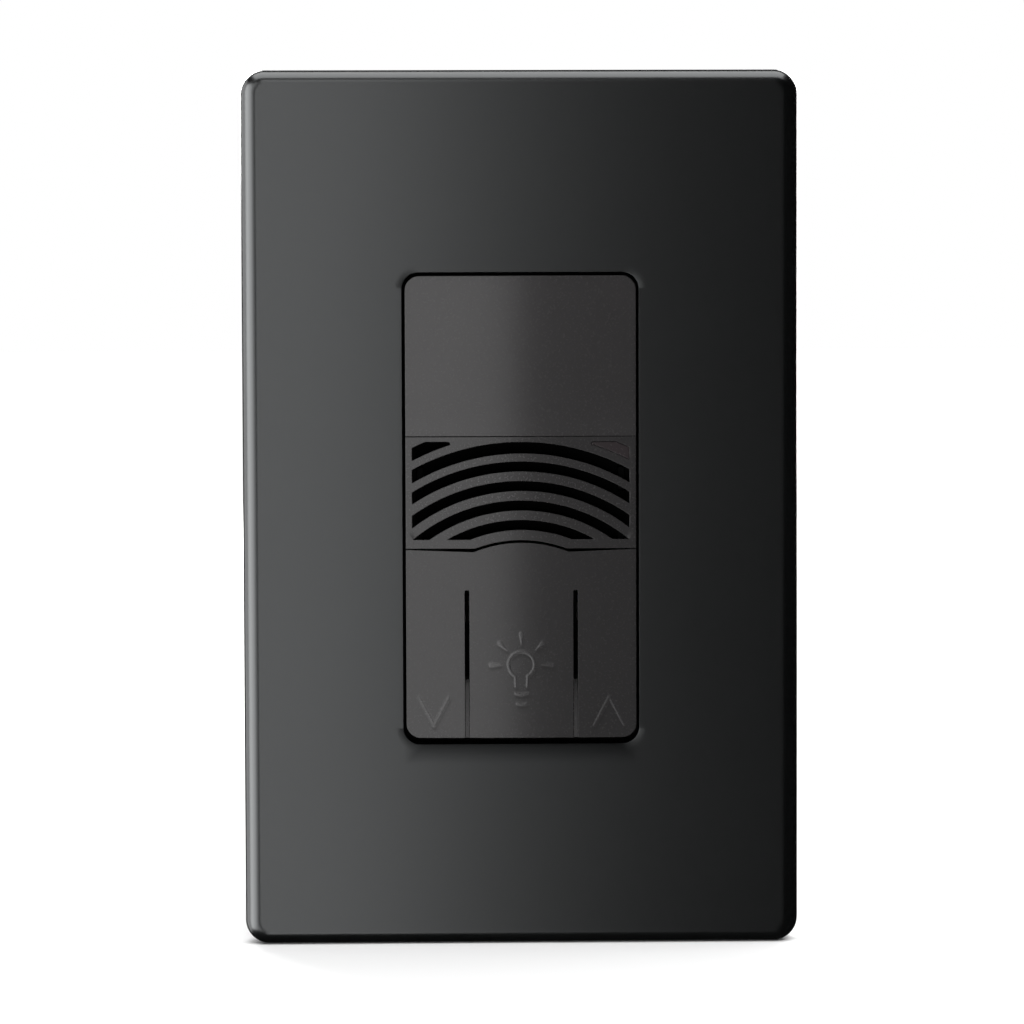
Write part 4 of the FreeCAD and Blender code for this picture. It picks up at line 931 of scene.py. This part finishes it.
def calculate(tree, operation, *values):
    """The result of a math node."""
    inputs = dict(enumerate(values))
    return add_node(tree, "ShaderNodeMath", inputs, operation=operation).outputs[0]


def shade(colour, factor):
    """The colour made lighter or darker."""
    return (*[min(1.0, c * factor) for c in colour], 1.0)


def noise(tree, size_mm, detail, stretch=(1, 1, 1)):
    """Noise whose features are about size_mm across, fixed to the object."""
    place = add_node(tree, "ShaderNodeTexCoord").outputs["Object"]
    scale = [s / MM / size_mm for s in stretch]
    mapping = add_node(tree, "ShaderNodeMapping", {"Vector": place, "Scale": scale})
    inputs = {"Vector": mapping.outputs[0], "Scale": 1.0, "Detail": detail, "Roughness": 0.55}
    return add_node(tree, "ShaderNodeTexNoise", inputs).outputs["Fac"]


def new_material(name):
    """A material with its node tree and its shader."""
    mat = bpy.data.materials.new(name)
    mat.use_nodes = True
    return mat, mat.node_tree, mat.node_tree.nodes["Principled BSDF"]


def moulded(name, colour, roughness, grain_mm, grain_depth, mottle=0.06, specular=0.5,
            metallic=0.0, spread=0.05, wear=0.06, stretch=(1, 1, 1), tint=(1, 1, 1, 1),
            relief=0.0, soften_mm=0.15):
    """A moulded or worked surface: fine grain, cloudy colour and gloss, and polished edges.

    Roughness varies by spread and colour by mottle. Relief is the strength of the painted light on
    symbol crowns and the painted shadow at their feet, and soften_mm rounds the edges of CAD nodes.
    """
    mat, tree, shader = new_material(name)
    grain, cloud = noise(tree, grain_mm, 4.0, stretch), noise(tree, 14.0, 2.0)
    edge = add_node(tree, "ShaderNodeNewGeometry").outputs["Pointiness"]
    base = mix_colour(tree, remap(tree, cloud, 0.35, 0.65, 0, 1),
                      shade(colour, 1 - mottle), shade(colour, 1 + mottle))
    base = mix_colour(tree, remap(tree, edge, 0.52, 0.6, 0.0, wear), base, shade(colour, 2.2))
    gloss = specular
    # Painted light on symbol crowns and painted shadow at their feet, from the attribute "raised".
    if relief:
        raised = add_node(tree, "ShaderNodeAttribute", attribute_name="raised").outputs["Fac"]
        base = mix_colour(tree, remap(tree, raised, -1, 1, 0, 1), shade(colour, 1 - relief), base)
        gloss = remap(tree, raised, -1, 1, specular * (1 - relief), specular * (1 + relief))
    bump = add_node(tree, "ShaderNodeBump",
                    {"Strength": 1.0, "Distance": grain_depth * MM, "Height": grain})
    if soften_mm:
        rounded = add_node(tree, "ShaderNodeBevel", {"Radius": soften_mm * MM}, samples=4)
        connect(tree, bump.inputs["Normal"], rounded.outputs[0])
    rough = remap(tree, grain, 0.3, 0.7, roughness - spread, roughness + spread)
    shader.inputs["Specular IOR Level"].default_value = specular
    for socket, value in (("Metallic", metallic), ("Specular Tint", tint), ("Base Color", base),
                          ("Specular IOR Level", gloss), ("Roughness", rough),
                          ("Normal", bump.outputs[0])):
        connect(tree, shader.inputs[socket], value)
    return mat


PLATE_GLOSS, EDGE_GLOSS = 0.45, 1.0
POLISH_START, POLISH_FULL = 1.9, 1.1  # millimetres in from the plate's outline
# Painted shadow under the insert's foot: its reach in millimetres and its darkest share of the
# gloss.
SHADE_REACH, SHADE_DARKEST = 2.9, 0.22


def shade_plate(mat):
    """Polishes the plate's rounded outer edge, and paints the insert's shadow on the strip under
    its foot by cutting the gloss there.
    """
    tree = mat.node_tree
    place = add_node(tree, "ShaderNodeTexCoord").outputs["Object"]
    axes = add_node(tree, "ShaderNodeSeparateXYZ", {0: place}).outputs
    across, along = (calculate(tree, "ABSOLUTE", axes[axis]) for axis in ("X", "Z"))
    sides, ends = (remap(tree, reach, (half - POLISH_START) * MM, (half - POLISH_FULL) * MM, 0, 1)
                   for reach, half in ((across, HALF_W), (along, HALF_H)))
    gloss = remap(tree, calculate(tree, "MAXIMUM", sides, ends), 0, 1, PLATE_GLOSS, EDGE_GLOSS)
    # Painted shadow: the gloss drops in a strip under the opening's foot, in the lower half and
    # between its sides.
    foot, side = -OPENING_H / 2, OPENING_W / 2
    below = remap(tree, axes["Z"], foot * MM, (foot - SHADE_REACH) * MM, SHADE_DARKEST, 1)
    above = remap(tree, axes["Z"], 0, -1 * MM, 1, SHADE_DARKEST)
    beside = remap(tree, across, (side - SHADE_REACH) * MM, side * MM, SHADE_DARKEST, 1)
    light = calculate(tree, "MAXIMUM", calculate(tree, "MAXIMUM", below, above), beside)
    connect(tree, tree.nodes["Principled BSDF"].inputs["Specular IOR Level"],
            calculate(tree, "MULTIPLY", gloss, light))


# Each row: colour, roughness, the grain's size and depth in mm, and how far the colour varies.
INSERT_ROW = ((0.034, 0.0317, 0.0325), 0.27, 0.3, 0.0006, 0.05)
FINISHES = {
    "plate_plastic": ((0.0025, 0.0029, 0.0030), 0.25, 0.3, 0.0010, 0.10),
    "insert_plastic": INSERT_ROW,
    "lens_plastic": INSERT_ROW,
    # Near-black matt on the pieces' walls and backs: painted shade in slots, gaps and the slit.
    "painted_shade_black": ((0.0015, 0.0014, 0.0014), 0.8, 0.3, 0.006),
    "tinted_window": ((0.026, 0.018, 0.020), 0.26, 0.4, 0.001, 0.05),
    "frame_plastic": ((0.007, 0.0062, 0.0055), 0.5, 0.3, 0.006),
    "housing_plastic": ((0.018, 0.018, 0.019), 0.5, 0.45, 0.02, 0.1),
    "mesh_cloth": ((0.0015, 0.0015, 0.0015), 0.9, 0.2, 0.05, 0.2),
    "zinc_steel": ((0.62, 0.62, 0.60), 0.38, 0.5, 0.01, 0.1),
    "brass": ((0.78, 0.56, 0.24), 0.32, 0.4, 0.01, 0.1),
    "nickel_steel": ((0.66, 0.63, 0.58), 0.27, 0.4, 0.006, 0.08),
    "green_steel": ((0.06, 0.26, 0.09), 0.33, 0.4, 0.008, 0.12),
    "fibre": ((0.30, 0.06, 0.035), 0.75, 0.3, 0.03, 0.2),
    "circuit_board": ((0.02, 0.11, 0.05), 0.35, 0.5, 0.01, 0.2),
    "chip_epoxy": ((0.02, 0.02, 0.021), 0.55, 0.15, 0.01, 0.1),
    "relay_case": ((0.02, 0.07, 0.19), 0.35, 0.3, 0.006),
    "capacitor_can": ((0.03, 0.035, 0.06), 0.3, 0.4, 0.005),
    "film_capacitor": ((0.45, 0.29, 0.05), 0.4, 0.3, 0.008),
    "ferrite": ((0.035, 0.034, 0.033), 0.6, 0.2, 0.02, 0.15),
    "winding_tape": ((0.5, 0.36, 0.06), 0.35, 0.6, 0.02, 0.1),
    "sensor_can": ((0.6, 0.58, 0.55), 0.25, 0.4, 0.004),
    "silicon_window": ((0.03, 0.03, 0.035), 0.15, 0.5, 0.001, 0.1),
    "transducer_can": ((0.6, 0.6, 0.6), 0.3, 0.4, 0.006),
    "boot_rubber": ((0.015, 0.015, 0.015), 0.8, 0.3, 0.02, 0.15),
    "lamp_epoxy": ((0.45, 0.5, 0.42), 0.12, 0.5, 0.001, 0.05),
    "switch_case": ((0.03, 0.03, 0.03), 0.5, 0.3, 0.01),
    "plunger_plastic": ((0.24, 0.035, 0.02), 0.35, 0.3, 0.004),
    "dial_plastic": ((0.62, 0.6, 0.55), 0.4, 0.3, 0.006),
    "dial_case": ((0.03, 0.09, 0.2), 0.4, 0.3, 0.006),
    "terminal_plastic": ((0.02, 0.12, 0.05), 0.42, 0.3, 0.008),
}
SATIN = {"spread": 0.008, "specular": 0.355, "soften_mm": 0}
METAL = {"metallic": 1.0, "spread": 0.08}
SETTINGS = {
    "plate_plastic": {"spread": 0.015, "specular": PLATE_GLOSS, "tint": (0.975, 1.0, 1.01, 1),
                      "soften_mm": 0},
    # relief sets the painted light and shadow on the key symbols.
    "insert_plastic": {**SATIN, "relief": 0.45},
    "lens_plastic": SATIN,
    "painted_shade_black": {"specular": 0.02, "wear": 0.0, "soften_mm": 0},
    "tinted_window": {"spread": 0.02, "soften_mm": 0},
    "frame_plastic": {"specular": 0.1},
    "mesh_cloth": {"specular": 0.02},
    "zinc_steel": {"metallic": 1.0, "spread": 0.1},
    "brass": METAL,
    "nickel_steel": METAL,
    "green_steel": {**METAL, "metallic": 0.6},
    "winding_tape": {"stretch": (1, 4, 1)},
    "sensor_can": {"metallic": 1.0},
    "transducer_can": {"metallic": 1.0},
    "boot_rubber": {"specular": 0.3},
}
MATERIALS = {name: moulded(name, *row, **SETTINGS.get(name, {}))
             for name, row in FINISHES.items()}
shade_plate(MATERIALS["plate_plastic"])
SLOT_OF = {part["node"]: part["material_slot"] for part in frame["record"]["subparts"]}


def dress(obj, *slots):
    """Gives an object these materials in place of what it has."""
    if obj.data.materials:  # clear() also resets the faces' slots, so new pieces skip it
        obj.data.materials.clear()
    for slot in slots:
        obj.data.materials.append(MATERIALS[slot])


# ---- camera, lights and floor
CAMERA_PLACE, CAMERA_LENS = (-0.0103, -0.5, 0.0234), 122.75
CAMERA_TURN, CAMERA_DIP, CAMERA_ROLL = -1.05, 2.765, -0.192  # degrees
STRIP_X = -0.070


def add_camera():
    """Half a metre away, a little above and left of the middle."""
    data = bpy.data.cameras.new("camera")
    data.sensor_width, data.lens, data.clip_start = 36.0, CAMERA_LENS, 0.01
    camera = add_object("camera", data)
    camera.location = CAMERA_PLACE
    turned = rotation(CAMERA_TURN, "Z") @ rotation(90 - CAMERA_DIP, "X")
    camera.rotation_euler = (turned @ rotation(CAMERA_ROLL, "Z")).to_euler()
    bpy.context.scene.camera = camera


def area_light(name, place, width, height, radiance, target=(0, 0, 0)):
    """A soft box. Its power follows from its size and how bright its face looks."""
    data = bpy.data.lights.new(name, "AREA")
    data.shape = "RECTANGLE"
    data.size, data.size_y = width, height
    data.energy = radiance * math.pi * width * height
    light = add_object(name, data)
    light.location = place
    light.rotation_euler = (Vector(target) - Vector(place)).to_track_quat("-Z", "Y").to_euler()
    return light


def link_light(light, objects):
    """Makes the light reach these objects only."""
    group = bpy.data.collections.new(light.name + "_group")
    for obj in objects:
        group.objects.link(obj)
    light.light_linking.receiver_collection = group


def add_lights(front, behind):
    """A strip in front that shades the face from left to right, and panels left, above and behind.

    The bright panels show only as gloss on the pieces in front. Weaker soft boxes light the metal
    and the housing behind, and two more light everything from the back.
    """
    for panel in (area_light("key_strip", (STRIP_X, -0.52, 0.0), 0.10, 1.2, 4.05, (STRIP_X, 0, 0)),
                  area_light("left_front_panel", (-0.39, -0.70, 0.0), 0.22, 1.2, 2.9),
                  area_light("left_panel", (-0.706, -0.376, 0.0), 0.76, 1.2, 4.6),
                  area_light("left_back_panel", (-0.76, 0.25, 0.0), 0.56, 1.2, 1.7),
                  area_light("top_panel", (0.0, 0.0, 0.8), 1.0, 0.86, 2.8)):
        panel.visible_diffuse = False
        link_light(panel, front)
    for panel in (area_light("left_soft_box", (-0.8, 0.15, 0.1), 0.8, 0.9, 2.6),
                  area_light("right_soft_box", (0.8, 0.15, 0.1), 0.8, 0.9, 2.6),
                  area_light("top_soft_box", (0.0, 0.1, 0.8), 0.9, 0.7, 2.2)):
        link_light(panel, behind)
    area_light("fill_back_left", (-0.42, 1.1, 0.4), 0.5, 0.6, 12.0)
    area_light("fill_back_right", (0.45, 1.1, 0.25), 0.5, 0.6, 9.0)


def white_world():
    """White for the camera, dim grey for everything else."""
    world = bpy.data.worlds.new("studio")
    world.use_nodes = True
    tree = world.node_tree
    dim = tree.nodes["Background"]
    dim.inputs["Color"].default_value = (0.008, 0.008, 0.008, 1)
    white = add_node(tree, "ShaderNodeBackground", {"Color": (1, 1, 1, 1)})
    seen = add_node(tree, "ShaderNodeLightPath").outputs["Is Camera Ray"]
    mix = add_node(tree, "ShaderNodeMixShader", {0: seen, 1: dim.outputs[0], 2: white.outputs[0]})
    connect(tree, tree.nodes["World Output"].inputs["Surface"], mix.outputs[0])
    bpy.context.scene.world = world


def add_floor():
    """A pale matt floor under the plate, with a light of its own."""
    bm = bmesh.new()
    bmesh.ops.create_grid(bm, x_segments=24, y_segments=24, size=40.0,
                          matrix=Matrix.Translation((0, 0, cad_bounds[0][2])))
    mesh = bpy.data.meshes.new("floor")
    bm.to_mesh(mesh)
    bm.free()
    floor = add_object("floor", mesh)
    mat, tree, shader = new_material("floor_paper")
    shader.inputs["Roughness"].default_value = 0.9
    tone = mix_colour(tree, noise(tree, 60.0, 2.0), (0.93, 0.93, 0.93, 1), (0.96, 0.96, 0.96, 1))
    connect(tree, shader.inputs["Base Color"], tone)
    mesh.materials.append(mat)
    floor.visible_glossy = floor.visible_shadow = False
    sun = bpy.data.lights.new("floor_light", "SUN")
    sun.energy, sun.angle = 3.9, math.radians(70)
    light = add_object("floor_light", sun)
    light.rotation_euler = (math.radians(12), math.radians(10), 0)
    link_light(light, [floor])


# ---- assembly
def fit(piece, body, node, *slots):
    """Dresses a piece that stands for a CAD node, and joins it to its body."""
    dress(piece, *slots)
    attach(piece, body)
    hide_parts(node)
    return piece


def assemble():
    """Makes every piece. Returns the front pieces and all the others."""
    behind = [frame["nodes"][node] for node in SLOT_OF]
    for obj, slot in zip(behind, SLOT_OF.values()):
        dress(obj, slot)
    front = [fit(wall_plate(), "wall_plate", "wall_plate", "plate_plastic", "painted_shade_black")]
    for maker, node, slot in ((sensor_lens, "sensor_lens", "lens_plastic"),
                              (grille, "grille", "insert_plastic"),
                              (status_window, "status_window", "tinted_window")):
        front.append(fit(maker(), "chassis", node, slot, "painted_shade_black"))
    fins = slit_fins()
    dress(fins, "insert_plastic", "painted_shade_black")
    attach(fins, "chassis")
    caps = key_panel()
    for piece, key in zip(caps, ("dim_down_key", "on_off_key", "dim_up_key")):
        dress(piece, "insert_plastic", "painted_shade_black")
        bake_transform(piece)
        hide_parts(key, *(["key_bridge"] if key == "on_off_key" else []))
    for piece, node in (
            (box_screws(), "mounting_screws"), (frame_screws(), "plate_screws"),
            (binding_screws("hot_wire_screws", "hot_terminal_screws", -1), "hot_terminal_screws"),
            (binding_screws("neutral_wire_screw", "neutral_terminal_screw", 1),
             "neutral_terminal_screw")):
        behind.append(fit(piece, "chassis", node, SLOT_OF[node]))
    return [*front, fins, *caps], behind


bpy.context.scene.view_settings.view_transform = "Standard"
add_camera()
white_world()
add_floor()
add_lights(*assemble())
